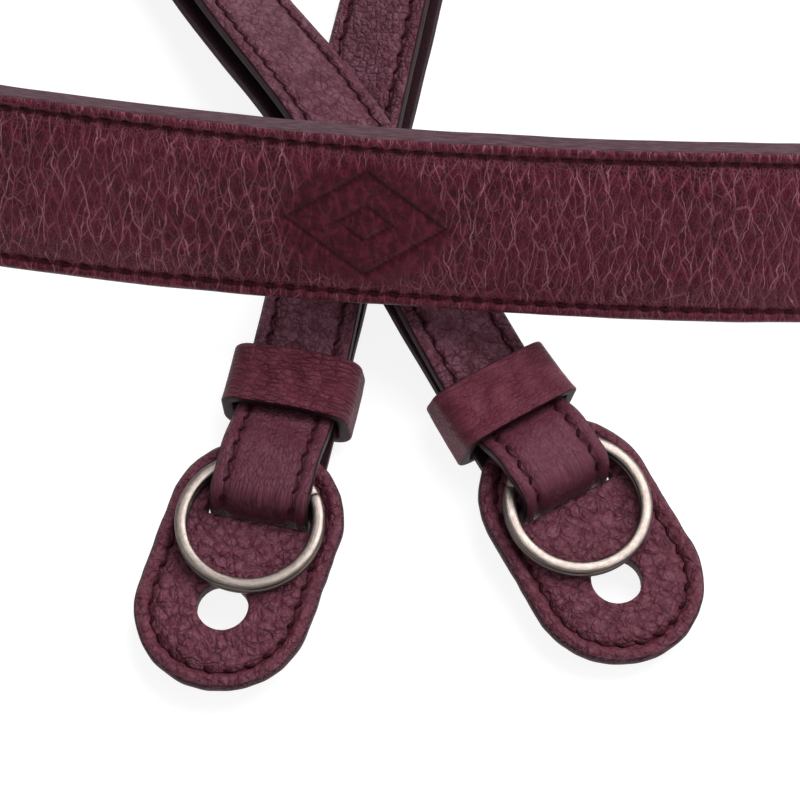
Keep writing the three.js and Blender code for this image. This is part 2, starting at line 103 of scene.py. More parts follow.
HALF_LENGTH = WHOLE_LENGTH / 2
PAD_END = PAD_LENGTH / 2
STRAP_LENGTH = HALF_LENGTH - PAD_END
TONGUE_GAP = TONGUE_THICKNESS + 2 * LAY_GAP
RING_HEIGHT = 2 * WIRE_HEIGHT + COIL_GAP
ROUTE_STEPS = 1000
PLAN_STEP = 2
SLOPE_STEP = 0.5


# ---------- the route, as the solids follow it

def mix(a, b, t):
    return a + (b - a) * t


def clamp(x, low=0.0, high=1.0):
    return np.clip(x, low, high) if isinstance(x, np.ndarray) else max(low, min(high, x))


def smooth(x, low, high):
    t = clamp((x - low) / (high - low))
    return t * t * (3 - 2 * t)


def read_table(rows, share):
    low = 0
    while low < len(rows) - 2 and share > rows[low + 1][0]:
        low += 1

    def slope_at(i):
        a, b = rows[max(i - 1, 0)], rows[min(i + 1, len(rows) - 1)]
        return (b[1] - a[1]) / (b[0] - a[0])

    span = rows[low + 1][0] - rows[low][0]
    u = clamp((share - rows[low][0]) / span)
    start = (1 + 2 * u) * (1 - u) ** 2
    end = u * u * (3 - 2 * u)
    return (start * rows[low][1] + end * rows[low + 1][1]
            + u * (1 - u) ** 2 * span * slope_at(low) - u * u * (1 - u) * span * slope_at(low + 1))


def heading_at(name, share):
    side = SIDES[name]
    bend = mix(smooth(share, side["bend_from"], side["bend_to"]),
               clamp(share / side["bend_to"]), EVEN_BEND)
    return math.radians(side["heading"] + side["turn"] * bend)


def lay_route(name):
    step = HALF_LENGTH / ROUTE_STEPS
    points = [(0.0, 0.0)]
    for i in range(ROUTE_STEPS):
        heading = heading_at(name, (i + 0.5) / ROUTE_STEPS)
        x, y = points[-1]
        points.append((x + math.cos(heading) * step, y + math.sin(heading) * step))
    return points


ROUTES = {name: lay_route(name) for name in SIDES}


def plan_point(name, distance):
    place = clamp(distance / HALF_LENGTH) * ROUTE_STEPS
    i = min(int(place), ROUTE_STEPS - 1)
    (x0, y0), (x1, y1) = ROUTES[name][i], ROUTES[name][i + 1]
    return (mix(x0, x1, place - i), mix(y0, y1, place - i))


def lean_at(name, distance):
    return math.radians(read_table(LEANS[name], distance / HALF_LENGTH))


def laid_width(distance):
    return mix(PAD_WIDTH, STRAP_WIDTH, smooth(distance, PAD_END - PAD_TAPER, PAD_END))


def ring_reach(name):
    return RING_OUTSIDE / 2 + SIDES[name]["ring_shift"][1]


def crest_height(name):
    rise = RING_OUTSIDE * math.sin(math.radians(SIDES[name]["ring_tilt"]))
    return STRAP_LEATHER + TAB_LEATHER + RING_HEIGHT + rise + 3 * LAY_GAP


def upper_layer(name, from_slit):
    at = SIDES[name]["keeper_at"]
    resting = STRAP_LEATHER + mix(LAYER_GAP, TONGUE_GAP, smooth(from_slit, at, at + LAYER_OPENING))
    crest = crest_height(name)
    over_head = STRAP_LEATHER + TAB_LEATHER + 2 * LAY_GAP
    head_reach = TAB_HEAD + 2 * LAY_GAP - ring_reach(name)
    head_share = (over_head - STRAP_LEATHER - LAYER_GAP) / (crest - STRAP_LEATHER - LAYER_GAP)
    descent = head_reach / (1 - math.sqrt(head_share))
    remaining = 1 - clamp((from_slit - ring_reach(name)) / descent)
    return resting + (crest - resting) * remaining ** 2


def stack_height(name, from_slit):
    rise = upper_layer(name, from_slit + SLOPE_STEP) - upper_layer(name, from_slit - SLOPE_STEP)
    return upper_layer(name, from_slit) + STRAP_LEATHER * math.hypot(1, rise / (2 * SLOPE_STEP))


KEEPER_ROOM = KEEPER_CORNER - math.sqrt((KEEPER_CORNER - LAY_GAP) ** 2
                                        - (KEEPER_CORNER - KEEPER_EASE) ** 2)


def keeper_lift(name, distance):
    side = SIDES[name]
    from_keeper = HALF_LENGTH - distance - side["keeper_at"]
    lean = lean_at(name, HALF_LENGTH - side["keeper_at"])
    wall = ((KEEPER_LEATHER + KEEPER_ROOM) * math.cos(lean)
            + (KEEPER_LEATHER + KEEPER_EASE) * math.sin(lean))
    if from_keeper < 0:
        return wall + from_keeper * math.tan(math.radians(side["tilt"]))
    return wall * (1 - smooth(from_keeper, KEEPER_LENGTH / 2, KEEPER_SETTLE))


def crossing(first, second):
    for i in range(len(first) - 1):
        ax, ay = first[i + 1][0] - first[i][0], first[i + 1][1] - first[i][1]
        for j in range(len(second) - 1):
            bx, by = second[j + 1][0] - second[j][0], second[j + 1][1] - second[j][1]
            cx, cy = second[j][0] - first[i][0], second[j][1] - first[i][1]
            det = ax * by - ay * bx
            u = (cx * by - cy * bx) / det
            v = (cx * ay - cy * ax) / det
            if 0 <= u < 1 and 0 <= v < 1:
                return i + u, j + v
    raise ValueError("the two lines do not cross")


def outward(name, distance):
    heading = heading_at(name, distance / HALF_LENGTH)
    hand = 1 if name == "left" else -1
    return math.sin(heading) * hand, -math.cos(heading) * hand


def plan_line(name):
    steps = int((HALF_LENGTH - PAD_END) / PLAN_STEP) + 1
    return [plan_point(name, PAD_END + PLAN_STEP * i) for i in range(steps)]


LEFT_LINE = plan_line("left")
RIGHT_LINE = plan_line("right")
STRAPS_CROSS = crossing(LEFT_LINE, RIGHT_LINE)
LEFT_CROSS_AT = PAD_END + STRAPS_CROSS[0] * PLAN_STEP
RIGHT_CROSS_AT = PAD_END + STRAPS_CROSS[1] * PLAN_STEP
RIDE_HEIGHT = (2 * LAY_GAP + stack_height("left", HALF_LENGTH - LEFT_CROSS_AT)
               + STRAP_WIDTH * math.sin(lean_at("left", LEFT_CROSS_AT)))


def swell(distance, reach):
    return math.cos(math.pi / 2 * distance / reach) ** 2 if abs(distance) < reach else 0.0


def strap_lift(name, distance):
    ride = swell(distance - RIGHT_CROSS_AT, RIDE_REACH * STRAP_WIDTH) if name == "right" else 0.0
    return mix(keeper_lift(name, distance), RIDE_HEIGHT, ride)


def band_side(signed):
    return "right" if signed < 0 else "left"


def band_edge_plan(signed):
    name = band_side(signed)
    x, y = plan_point(name, abs(signed))
    out = outward(name, abs(signed))
    reach = PAD_WIDTH / 2 * math.cos(lean_at(name, abs(signed)))
    return x + out[0] * reach, y + out[1] * reach


EDGE_START = -PAD_LENGTH / 4
BAND_EDGE = [band_edge_plan(EDGE_START + PLAN_STEP * i)
             for i in range(int(-2 * EDGE_START / PLAN_STEP) + 1)]
BAND_CROSS = crossing(BAND_EDGE, RIGHT_LINE)
BAND_CROSS_AT = EDGE_START + BAND_CROSS[0] * PLAN_STEP
UNDER_BAND_AT = PAD_END + BAND_CROSS[1] * PLAN_STEP
BAND_RIDE = (2 * LAY_GAP + strap_lift("right", UNDER_BAND_AT)
             + stack_height("right", HALF_LENGTH - UNDER_BAND_AT)
             * math.cos(lean_at("right", UNDER_BAND_AT))
             + STRAP_WIDTH * math.sin(lean_at("right", UNDER_BAND_AT)))


def lift_at(name, distance):
    signed = distance if name == "left" else -distance
    return (strap_lift(name, distance)
            + BAND_RIDE * swell(signed - BAND_CROSS_AT, PAD_REACH * PAD_WIDTH))


def underside_height(name, distance):
    return lift_at(name, distance) + laid_width(distance) / 2 * math.sin(lean_at(name, distance))


def frame_at(name, distance):
    """Middle of the underside, then the directions along, across and out of the grain face."""
    inside = clamp(distance, 0, HALF_LENGTH)
    lean = lean_at(name, inside)
    out = outward(name, inside)
    before = max(inside - SLOPE_STEP, 0)
    after = min(inside + SLOPE_STEP, HALF_LENGTH)
    slope = (underside_height(name, after) - underside_height(name, before)) / (after - before)
    heading = heading_at(name, inside / HALF_LENGTH)
    along = np.array((math.cos(heading), math.sin(heading), slope))
    along /= np.linalg.norm(along)
    leaning = np.array((-out[0] * math.cos(lean), -out[1] * math.cos(lean), math.sin(lean)))
    across = leaning - along * leaning.dot(along)
    across /= np.linalg.norm(across)
    face = np.cross(along, across)
    if name == "right":
        face = -face
    x, y = plan_point(name, inside)
    return np.array((x, y, underside_height(name, inside))), along, across, face


FRAME_STEP = 0.25
FRAMES = {}
for side_name in SIDES:
    places = [frame_at(side_name, i * FRAME_STEP) for i in range(int(HALF_LENGTH / FRAME_STEP) + 1)]
    FRAMES[side_name] = [np.array(column) for column in zip(*places)]


def lay(name, distance, across, up):
    """Places in the laid strap of points drawn flat, all as arrays of one shape."""
    distance, across, up = np.broadcast_arrays(distance, across, up)
    inside = np.clip(distance, 0, HALF_LENGTH)
    place = inside / FRAME_STEP
    i = np.minimum(place.astype(int), len(FRAMES[name][0]) - 2)
    t = (place - i)[..., None]
    origin, along, width, face = (column[i] * (1 - t) + column[i + 1] * t
                                  for column in FRAMES[name])
    return (origin + along * (distance - inside)[..., None]
            + width * across[..., None] + face * up[..., None])


# ---------- meshes

def wander(points, scale, seed):
    """Smooth noise between about -1 and 1 at each of the points."""
    shape = points.shape[:-1]
    flat = points.reshape(-1, 3) / scale + seed * 17.3
    values = np.fromiter((noise.noise(Vector(p)) for p in flat), dtype=float, count=len(flat))
    return values.reshape(shape)


def make_piece(name, points, faces, kinds, materials, marks):
    """A mesh piece from points in mm, each face's material number, and attributes by name."""
    mesh = bpy.data.meshes.new(name)
    mesh.from_pydata(((points + LAID_AT) * MM).tolist(), [], faces)
    for material in materials:
        mesh.materials.append(material)
    mesh.polygons.foreach_set("material_index", np.asarray(kinds, dtype=np.int32))
    mesh.polygons.foreach_set("use_smooth", np.ones(len(faces), dtype=bool))
    for mark, values in marks.items():
        kind, field = ("FLOAT_VECTOR", "vector") if values.ndim == 2 else ("FLOAT", "value")
        mesh.attributes.new(mark, kind, "POINT").data.foreach_set(field, values.ravel())
    mesh.update()
    piece = bpy.data.objects.new(name, mesh)
    bpy.context.scene.collection.objects.link(piece)
    return piece


def enclosed(points, faces):
    """Six times the volume inside the faces, negative where they point inwards."""
    fans = np.array([(face[0], face[k], face[k + 1])
                     for face in faces for k in range(1, len(face) - 1)])
    a, b, c = points[fans[:, 0]], points[fans[:, 1]], points[fans[:, 2]]
    return float((a * np.cross(b, c)).sum())


def sweep(name, grid, kinds_around, materials, marks, closed=False):
    """Skins a grid of sections: its rows go along the piece and its columns go round it."""
    rows, columns = grid.shape[:2]
    points = grid.reshape(-1, 3)
    faces = []
    kinds = []
    for r in range(rows if closed else rows - 1):
        here, ahead = r * columns, (r + 1) % rows * columns
        kinds += list(kinds_around)
        for c in range(columns):
            d = (c + 1) % columns
            faces.append((here + c, here + d, ahead + d, ahead + c))
    if not closed:
        for row, order in ((0, -1), (rows - 1, 1)):
            faces.append(tuple(row * columns + c for c in range(columns))[::order])
            kinds.append(kinds_around[0])
    if enclosed(points, faces) < 0:
        faces = [face[::-1] for face in faces]
    flat_marks = {mark: values.reshape(-1, 3) if values.ndim == 3 else values.ravel()
                  for mark, values in marks.items()}
    return make_piece(name, points, faces, kinds, materials, flat_marks)


# ---------- node trees

class Value:
    """What a node gives out. Arithmetic on it adds math nodes."""

    def __init__(self, tree, socket):
        self.tree = tree
        self.socket = socket

    def __add__(self, other):
        return self.tree.math("ADD", self, other)

    def __sub__(self, other):
        return self.tree.math("SUBTRACT", self, other)

    def __rsub__(self, other):
        return self.tree.math("SUBTRACT", other, self)

    def __mul__(self, other):
        return self.tree.math("MULTIPLY", self, other)

    def __truediv__(self, other):
        return self.tree.math("DIVIDE", self, other)

    def __pow__(self, other):
        return self.tree.math("POWER", self, other)

    def __abs__(self):
        return self.tree.math("ABSOLUTE", self)

    def ramp(self, low, high, to_low=0.0, to_high=1.0):
        return self.tree.add("ShaderNodeMapRange", {
            "Value": self, "From Min": low, "From Max": high, "To Min": to_low,
            "To Max": to_high}, interpolation_type="SMOOTHSTEP")

    def toward(self, colour, share):
        """This colour, turned by a share into another."""
        return self.tree.blend(share, self, colour)


class Tree:
    """A node tree built one node at a time."""

    def __init__(self, tree):
        self.tree = tree
        self.tree.nodes.clear()

    def add(self, kind, inputs=(), out=0, **settings):
        node = self.tree.nodes.new(kind)
        for key, value in settings.items():
            setattr(node, key, value)
        for key, value in dict(inputs).items():
            if isinstance(value, Value):
                self.tree.links.new(value.socket, node.inputs[key])
            else:
                node.inputs[key].default_value = value
        return Value(self, node.outputs[out]) if node.outputs else None

    def math(self, operation, *values):
        return self.add("ShaderNodeMath", enumerate(values), operation=operation)

    def most(self, first, *others):
        for other in others:
            first = self.math("MAXIMUM", first, other)
        return first

    def blend(self, factor, a, b):
        return self.add("ShaderNodeMix", {0: factor, 6: a, 7: b}, out=2, data_type="RGBA")

    def mapped(self, vector, **settings):
        return self.add("ShaderNodeMapping", {"Vector": vector, **settings})

    def noise(self, vector, scale, detail=2.0, roughness=0.5, out=0):
        return self.add("ShaderNodeTexNoise", {
            "Vector": vector, "Scale": scale, "Detail": detail, "Roughness": roughness}, out=out)

    def warped(self, vector, scale, amount):
        drift = self.noise(vector, scale, out=1)
        centred = self.add("ShaderNodeVectorMath", {0: drift, 1: (0.5, 0.5, 0.5)},
                           operation="SUBTRACT")
        scaled = self.add("ShaderNodeVectorMath", {0: centred, "Scale": amount},
                          operation="SCALE")
        return self.add("ShaderNodeVectorMath", {0: vector, 1: scaled}, operation="ADD")


# ---------- materials

class Recipe(Tree):
    """A material, placed by the flat layout in mm that its piece carries, or by the object."""

    def __init__(self, name, flat=True):
        self.material = bpy.data.materials.new(name)
        self.material.use_nodes = True
        super().__init__(self.material.node_tree)
        self.place = (self.add("ShaderNodeAttribute", out="Vector", attribute_name="flat")
                      if flat else self.add("ShaderNodeTexCoord", out="Object"))

    def mark(self, name):
        """One of the attributes that the piece carries."""
        return self.add("ShaderNodeAttribute", out="Fac", attribute_name=name)

    def creased(self, cell, stretch, width, wobble, corner=0.0, randomness=1.0):
        """Creases between organic cells: how much of a crease, and how far up a dome."""
        near = self.warped(self.place, 0.55 / cell, wobble * cell)
        near = self.warped(near, 2.1 / cell, 0.32 * wobble * cell)
        laid = self.mapped(near, Scale=(1 / cell, 1 / (cell * stretch), 1.0),
                           Rotation=(0.0, 0.0, math.radians(corner)))
        edge = self.add("ShaderNodeTexVoronoi", {
            "Vector": laid, "Scale": 1.0, "Randomness": randomness},
            feature="DISTANCE_TO_EDGE", voronoi_dimensions="2D")
        return edge.ramp(0.0, width, 1.0, 0.0), edge.ramp(0.0, 0.36)

    def drawn_lines(self, spacing, lean, width, wandering, seed):
        """Long wandering lines, so many degrees from straight across, broken up in places."""
        laid = self.add("ShaderNodeMapping", {
            "Vector": self.place, "Rotation": (0.0, 0.0, math.radians(lean)),
            "Location": (seed, seed, 0.0)}, vector_type="TEXTURE")
        place = self.add("ShaderNodeSeparateXYZ", {"Vector": laid}, out="X") / spacing
        place = place + self.noise(laid, 0.42 / spacing) * wandering
        place = place + self.noise(laid, 3.2 / spacing, 3.0, 0.6) * 0.16
        off = abs(self.math("FRACT", place) - 0.5)
        return off.ramp(0.0, width, 1.0, 0.0) * self.noise(laid, 0.8 / spacing).ramp(0.38, 0.52)

    def shade(self, **inputs):
        """The material, with the shader's inputs."""
        shader = self.add("ShaderNodeBsdfPrincipled", {
            key.replace("_", " "): value for key, value in inputs.items()})
        self.add("ShaderNodeOutputMaterial", {"Surface": shader})
        return self.material

    def finish(self, tone, rough, height, depth, strength, **inputs):
        """The material, with a relief so many metres deep."""
        normal = self.add("ShaderNodeBump", {
            "Height": height, "Distance": depth, "Strength": strength})
        return self.shade(Base_Color=tone, Roughness=rough, Normal=normal, **inputs)

    def dyed(self, tone, rough, height, depth, strength, shine):
        """Dyed leather or thread, whose reflections are a little reddened too."""
        return self.finish(tone, rough, height, depth, strength, Specular_IOR_Level=shine,
                           Specular_Tint=DYED_SHINE)


def rgb(red, green, blue):
    """A colour given as it looks on a screen, from 0 to 255."""
    def linear(v):
        v /= 255
        return v / 12.92 if v <= 0.04045 else ((v + 0.055) / 1.055) ** 2.4
    return linear(red), linear(green), linear(blue), 1.0


WINE = rgb(88, 26, 41)
WINE_DEEP = rgb(34, 8, 15)
# Lighter tone of the band's crease lines: partly the glaze's pull-up, partly painted highlight on
# the crease edges
WINE_PULLUP_AND_HIGHLIGHT = rgb(172, 114, 130)
SEAM_SHADE = rgb(28, 4, 9)
DYED_SHINE = (1.0, 0.70, 0.80, 1.0)     # the glaze is dyed, so what it mirrors is reddened

# Long creases of the band: spacing, lean in degrees, half width as a share, and strength
BAND_LINES = ((2.4, -8, 0.042, 1.0), (2.8, 11, 0.038, 1.0), (1.5, 21, 0.04, 0.42),
              (1.4, -24, 0.04, 0.38))


def band_leather():
    """Glazed grain leather, pulled into creases that run across the band; the creases are painted
    lighter, partly the glaze's pull-up and partly painted highlight.
    """
    r = Recipe("glazed band leather")
    flat = r.place
    lively = 1.0 - r.mark("calm")
    web, pillow = r.creased(1.45, 3.0, 0.07, 0.42, 45, 0.62)
    hair, _ = r.creased(0.9, 2.6, 0.055, 0.5, 45, 0.8)
    line = r.most(web * 0.42, *(r.drawn_lines(spacing, lean, width, 1.5, 13.0 * spacing) * share
                                for spacing, lean, width, share in BAND_LINES))
    grain, lumps = r.creased(0.42, 1.3, 0.2, 0.6)
    strong = r.noise(flat, 0.5).ramp(0.36, 0.58, 0.45, 1.0)
    hairs = hair * r.noise(flat, 0.17, 3.0).ramp(0.38, 0.62, 0.10, 0.36)
    fuzz = grain * (r.mark("puckered") * 0.26 + r.noise(flat, 1.1).ramp(0.42, 0.62, 0.0, 0.10))
    marks = r.most(line * strong, hairs, fuzz) * lively
    pores = r.noise(flat, 7.0, 3.0, 0.6)
    tone = r.blend(r.noise(flat, 0.95, 3.0, 0.6).ramp(0.38, 0.62), WINE, rgb(56, 11, 23))
    tone = tone.toward(rgb(54, 8, 21), pillow * 0.55)
    tone = tone.toward(rgb(92, 30, 46), r.noise(flat, 0.07).ramp(0.4, 0.65, 0.0, 0.35))
    # Painted highlight along the crease lines, hairs and fuzz, on top of the lighter pull-up of the
    # glaze
    tone = tone.toward(WINE_PULLUP_AND_HIGHLIGHT, marks * 0.82)
    tone = tone.toward(WINE_DEEP, r.mark("tooled") * 0.7)
    # Painted shade in the stitched channel, darker at each stitch
    tone = tone.toward(WINE_DEEP, r.mark("seam") * 0.7)
    height = (pillow * 0.8 + lumps * 0.35) * lively + pores * 0.2 - marks * 0.4
    return r.dyed(tone, pores * 0.16 + (grain * 0.06 + 0.34), height, 0.00015, 0.9, 0.17)


def pebbled_leather(name, cell, body, crest, fold, depth, creasing, folds):
    """Tumbled leather: soft pebbles about one cell across, dark creases, and smooth where calm."""
    r = Recipe(name)
    flat = r.place
    calm = r.mark("calm")
    lively = 1.0 - calm
    crease, dome = r.creased(cell, 1.0, 0.13, 0.8)
    crack, crumb = r.creased(0.5 * cell, 1.1, 0.2, 0.9)
    busy = r.noise(flat, 0.3).ramp(0.36, 0.62, 0.25, 1.0)
    strong = r.noise(flat, 0.5).ramp(0.36, 0.60, 0.4, 1.0)
    marks = r.most(crease * strong, crack * busy * 0.5) * lively
    tugged = r.noise(r.mapped(r.warped(flat, 1.1, 0.7), Scale=(0.85, 3.6, 1.0)), 1.0, 3.0, 0.65)
    tight, _ = r.creased(1.5, 0.32, 0.17, 0.45)
    drawn = r.mark("drawn")
    pulled = r.most(tight * strong, tugged.ramp(0.34, 0.48, 0.7, 0.0)) * drawn
    pores = r.noise(flat, 8.0, 3.0, 0.6)
    long_fold = abs(r.noise(r.warped(flat, 0.5, 1.2), 0.28, 2.0, 0.6) - 0.5)
    wrinkle = r.most(long_fold.ramp(0.0, 0.03, 1.0, 0.0),
                     r.drawn_lines(4.6, 28, 0.045, 1.3, 32.2),
                     r.drawn_lines(3.4, -46, 0.045, 1.3, 23.8)) * strong * folds
    tone = r.blend(r.noise(flat, 0.9, 3.0, 0.6).ramp(0.36, 0.66), body, crest)
    tone = tone.toward(fold, calm * 0.9)
    tone = tone.toward(WINE_DEEP, r.most(marks * creasing, wrinkle) * 0.8)
    # Painted shade: the fold darkened with its drawn mark, the left fold more than the right
    tone = tone.toward(WINE_DEEP, drawn * 0.3)
    tone = tone.toward(WINE_DEEP, pulled * 0.8)
    tone = tone.toward(SEAM_SHADE, r.mark("seam") * 0.9)
    height = (dome * 0.7 + crumb * 0.28) * lively + pores * 0.25
    height = height - marks * 0.35 - pulled * 0.4 - wrinkle * 1.1
    return r.dyed(tone, pores * 0.18 + (marks * 0.08 + 0.40), height, depth, 0.9, 0.26)


def keeper_leather():
    """Smooth leather with fine broken wrinkles that run round the loop."""
    r = Recipe("smooth keeper leather")
    flat = r.place
    line, dome = r.creased(0.66, 2.3, 0.15, 0.9, 14)
    split, crumb = r.creased(0.36, 1.6, 0.18, 0.8)
    wrinkles = r.noise(r.mapped(r.warped(flat, 0.6, 1.0), Scale=(2.6, 0.7, 0.5)), 1.0, 3.0, 0.6)
    line = r.most(line, r.drawn_lines(0.85, 4, 0.08, 1.6, 7.65) * 0.6,
                  r.drawn_lines(0.6, -6, 0.08, 1.6, 5.4) * 0.6)
    busy = r.noise(flat, 0.45).ramp(0.36, 0.60, 0.5, 1.0)
    lively = 1.0 - r.mark("calm")
    lines = r.most(line, split * 0.5) * busy * lively
    pores = r.noise(flat, 9.0, 3.0, 0.6)
    tone = r.blend(r.noise(flat, 0.5, 3.0).ramp(0.35, 0.7), rgb(90, 37, 50), rgb(106, 52, 66))
    tone = tone.toward(WINE_DEEP, wrinkles.ramp(0.36, 0.52, 0.12, 0.0))
    tone = tone.toward(WINE_DEEP, lines * 0.75)
    height = dome * lively * 0.8 + crumb * 0.25 + wrinkles * 0.8 - lines * 0.6 + pores * 0.15
    return r.dyed(tone, pores * 0.18 + 0.44, height, 0.00019, 0.9, 0.19)


def edge_paint(name, low, high):
    """Paint on the cut edges, drawn along them, with a little grit."""
    r = Recipe(name)
    streaks = r.noise(r.mapped(r.place, Scale=(0.5, 5.0, 5.0)), 1.0, 4.0, 0.6)
    grit = r.noise(r.place, 6.0, 3.0, 0.6)
    tone = r.blend(streaks.ramp(0.4, 0.65), low, high)
    return r.dyed(tone, grit * 0.2 + 0.45, streaks * 0.5 + grit, 0.00006, 0.6, 0.12)


def flesh_side():
    """Dyed inner face of the leather, napped and dull."""
    r = Recipe("dyed flesh side")
    nap = r.noise(r.place, 3.0, 4.0, 0.7)
    tone = r.blend(nap.ramp(0.35, 0.65), rgb(28, 14, 18), rgb(44, 24, 30))
    return r.finish(tone, 0.85, nap, 0.0001, 0.7, Specular_IOR_Level=0.1)


def waxed_thread(name, low, high):
    """Thread of fine strands, about a fifth of a millimetre each."""
    r = Recipe(name, flat=False)
    strands = r.noise(r.place, 5200.0)
    return r.dyed(r.blend(strands, low, high), 0.6, strands, 0.00005, 0.7, 0.12)


def satin_nickel():
    """Nickel plate with fine drawn lines along the wire and a few dull specks."""
    r = Recipe("satin nickel plate")
    drawn = r.noise(r.mapped(r.place, Scale=(0.5, 12.0, 12.0)), 1.0, 3.0, 0.6)
    cloud = r.noise(r.place, 1.6, 4.0, 0.7)
    specks = r.noise(r.place, 5.0, 2.0, 0.7).ramp(0.62, 0.72)
    side = r.add("ShaderNodeSeparateXYZ", {"Vector": r.place}, out="Y")
    tone = r.blend(cloud.ramp(0.36, 0.64), rgb(150, 138, 132), rgb(168, 157, 150))
    tone = tone.toward(rgb(104, 94, 89), drawn.ramp(0.38, 0.56, 0.55, 0.0))
    # Darker towards the wire's sides, where the two coils meet
    tone = tone.toward(rgb(84, 74, 70), abs(side).ramp(0.42, 0.74, 0.0, 0.75))
    tone = tone.toward(rgb(92, 83, 79), specks * 0.5)
    return r.finish(tone, drawn * 0.2 + (specks * 0.2 + 0.33), drawn, 0.00003, 0.7, Metallic=1.0)


BAND = band_leather()
STRAP = pebbled_leather("pebbled strap leather", 1.0, rgb(87, 44, 57), rgb(114, 72, 86),
                        rgb(96, 44, 58), 0.00022, 0.8, 0.0)
TAB = pebbled_leather("pebbled tab leather", 1.6, rgb(90, 42, 55), rgb(110, 64, 77),
                      rgb(84, 32, 45), 0.00027, 0.7, 0.5)
KEEPER = keeper_leather()
PAINT = edge_paint("dark edge paint", rgb(32, 15, 20), rgb(54, 33, 39))
RAW_EDGE = edge_paint("raw tab edge", rgb(40, 22, 28), rgb(88, 62, 69))
BAND_PAINT = edge_paint("brown edge paint", rgb(68, 46, 53), rgb(94, 70, 78))
FLESH = flesh_side()
THREAD = waxed_thread("waxed maroon thread", rgb(44, 8, 15), rgb(80, 22, 33))
# A darker copy of the thread for the stitches, as painted shade where the thread sinks into the
# leather
SHADED_THREAD = waxed_thread("waxed thread in painted shade", rgb(24, 4, 9), rgb(50, 12, 20))
NICKEL = satin_nickel()


# ---------- stitches

STITCH_PITCH = 2.5
BLUNTNESS = 0.6         # below 1, how full the stitch's ends are
LINK_WIDTH = 0.50       # of the thin thread from stitch to stitch, as a share of the thread
LINK_REACH = 0.38       # half the length of that thread, as a share of the pitch
LINK_SLANT = 0.6        # how far it leans back, as a share of the stitch's own slant
LOOSENESS = 7           # degrees that a stitch may be off its slant


def stitch_tree():
    """Lays a stitch at each pitch along the seam lines, and a thin thread on to the next."""
    group = bpy.data.node_groups.new("row of stitches", "GeometryNodeTree")
    sockets = [("Seam", "Geometry", "INPUT"), ("Stitches", "Geometry", "OUTPUT")]
    sockets += [(label, "Float", "INPUT") for label in (
        "Pitch", "Stitch Length", "Thread Width", "Slant", "Looseness")]
    sockets += [(label, "Material", "INPUT") for label in ("Thread", "Link Thread")]
    for label, kind, way in sockets:
        group.interface.new_socket(label, in_out=way, socket_type="NodeSocket" + kind)
    t = Tree(group)
    given = {socket.name: Value(t, socket)
             for socket in group.nodes.new("NodeGroupInput").outputs}
    pitch, thread, slant = given["Pitch"], given["Thread Width"], given["Slant"]

    def combined(x, y=0.0, z=0.0):
        return t.add("ShaderNodeCombineXYZ", {"X": x, "Y": y, "Z": z})

    def about_face(angle):
        return t.add("FunctionNodeAxisAngleToRotation", {"Axis": (0, 0, 1), "Angle": angle})

    line = t.add("GeometryNodeMeshToCurve", {"Mesh": given["Seam"]})
    marks = t.add("GeometryNodeResampleCurve", {"Curve": line, "Length": pitch}, mode="LENGTH")
    face_up = t.add("GeometryNodeInputNamedAttribute", {"Name": "face_up"},
                    data_type="FLOAT_VECTOR")
    ahead = t.add("FunctionNodeAlignRotationToVector", {
        "Vector": t.add("GeometryNodeInputTangent")}, axis="X")
    upright = t.add("FunctionNodeAlignRotationToVector", {
        "Rotation": ahead, "Vector": face_up}, axis="Z", pivot_axis="X")
    drift = t.add("FunctionNodeRandomValue", {"Min": -1.0, "Max": 1.0, "Seed": 7}, out=1,
                  data_type="FLOAT")
    turned = t.add("FunctionNodeRotateRotation", {
        "Rotation": upright, "Rotate By": about_face(drift * given["Looseness"] + slant)},
        rotation_space="LOCAL")

    ball = t.add("GeometryNodeMeshUVSphere", {"Segments": 8, "Rings": 8, "Radius": 1.0})
    upended = t.add("GeometryNodeTransform", {
        "Geometry": ball, "Rotation": (0, math.pi / 2, 0)})
    place = t.add("GeometryNodeInputPosition")
    x, y, z = (t.add("ShaderNodeSeparateXYZ", {0: place}, out=axis) for axis in "XYZ")
    blunt = combined(abs(x) ** BLUNTNESS * t.math("SIGN", x), y, z)
    bead = t.add("GeometryNodeSetPosition", {"Geometry": upended, "Position": blunt})
    stitch = t.add("GeometryNodeTransform", {"Geometry": bead, "Scale": combined(
        given["Stitch Length"] * 0.5, thread * 0.5, thread * 0.5)})
    thin = thread * LINK_WIDTH * LINK_REACH
    link = t.add("GeometryNodeTransform", {
        "Geometry": bead, "Scale": combined(pitch * LINK_REACH, thin, thin),
        "Rotation": about_face(slant * -LINK_SLANT), "Translation": combined(pitch * 0.5)})
    last = t.add("GeometryNodeCurveEndpointSelection", {"Start Size": 0, "End Size": 1})
    followed = t.add("FunctionNodeBooleanMath", {0: last}, operation="NOT")

    both = group.nodes.new("GeometryNodeJoinGeometry")
    for bit, turn, where, label in ((stitch, turned, {}, "Thread"),
                                    (link, upright, {"Selection": followed}, "Link Thread")):
        placed = t.add("GeometryNodeInstanceOnPoints", {
            "Points": marks, "Instance": bit, "Rotation": turn, **where})
        real = t.add("GeometryNodeRealizeInstances", {"Geometry": placed})
        sewn = t.add("GeometryNodeSetMaterial", {"Geometry": real, "Material": given[label]})
        group.links.new(sewn.socket, both.inputs[0])
    soft = t.add("GeometryNodeSetShadeSmooth", {"Geometry": Value(t, both.outputs[0])})
    t.add("NodeGroupOutput", {0: soft})
    return group


STITCHES = stitch_tree()


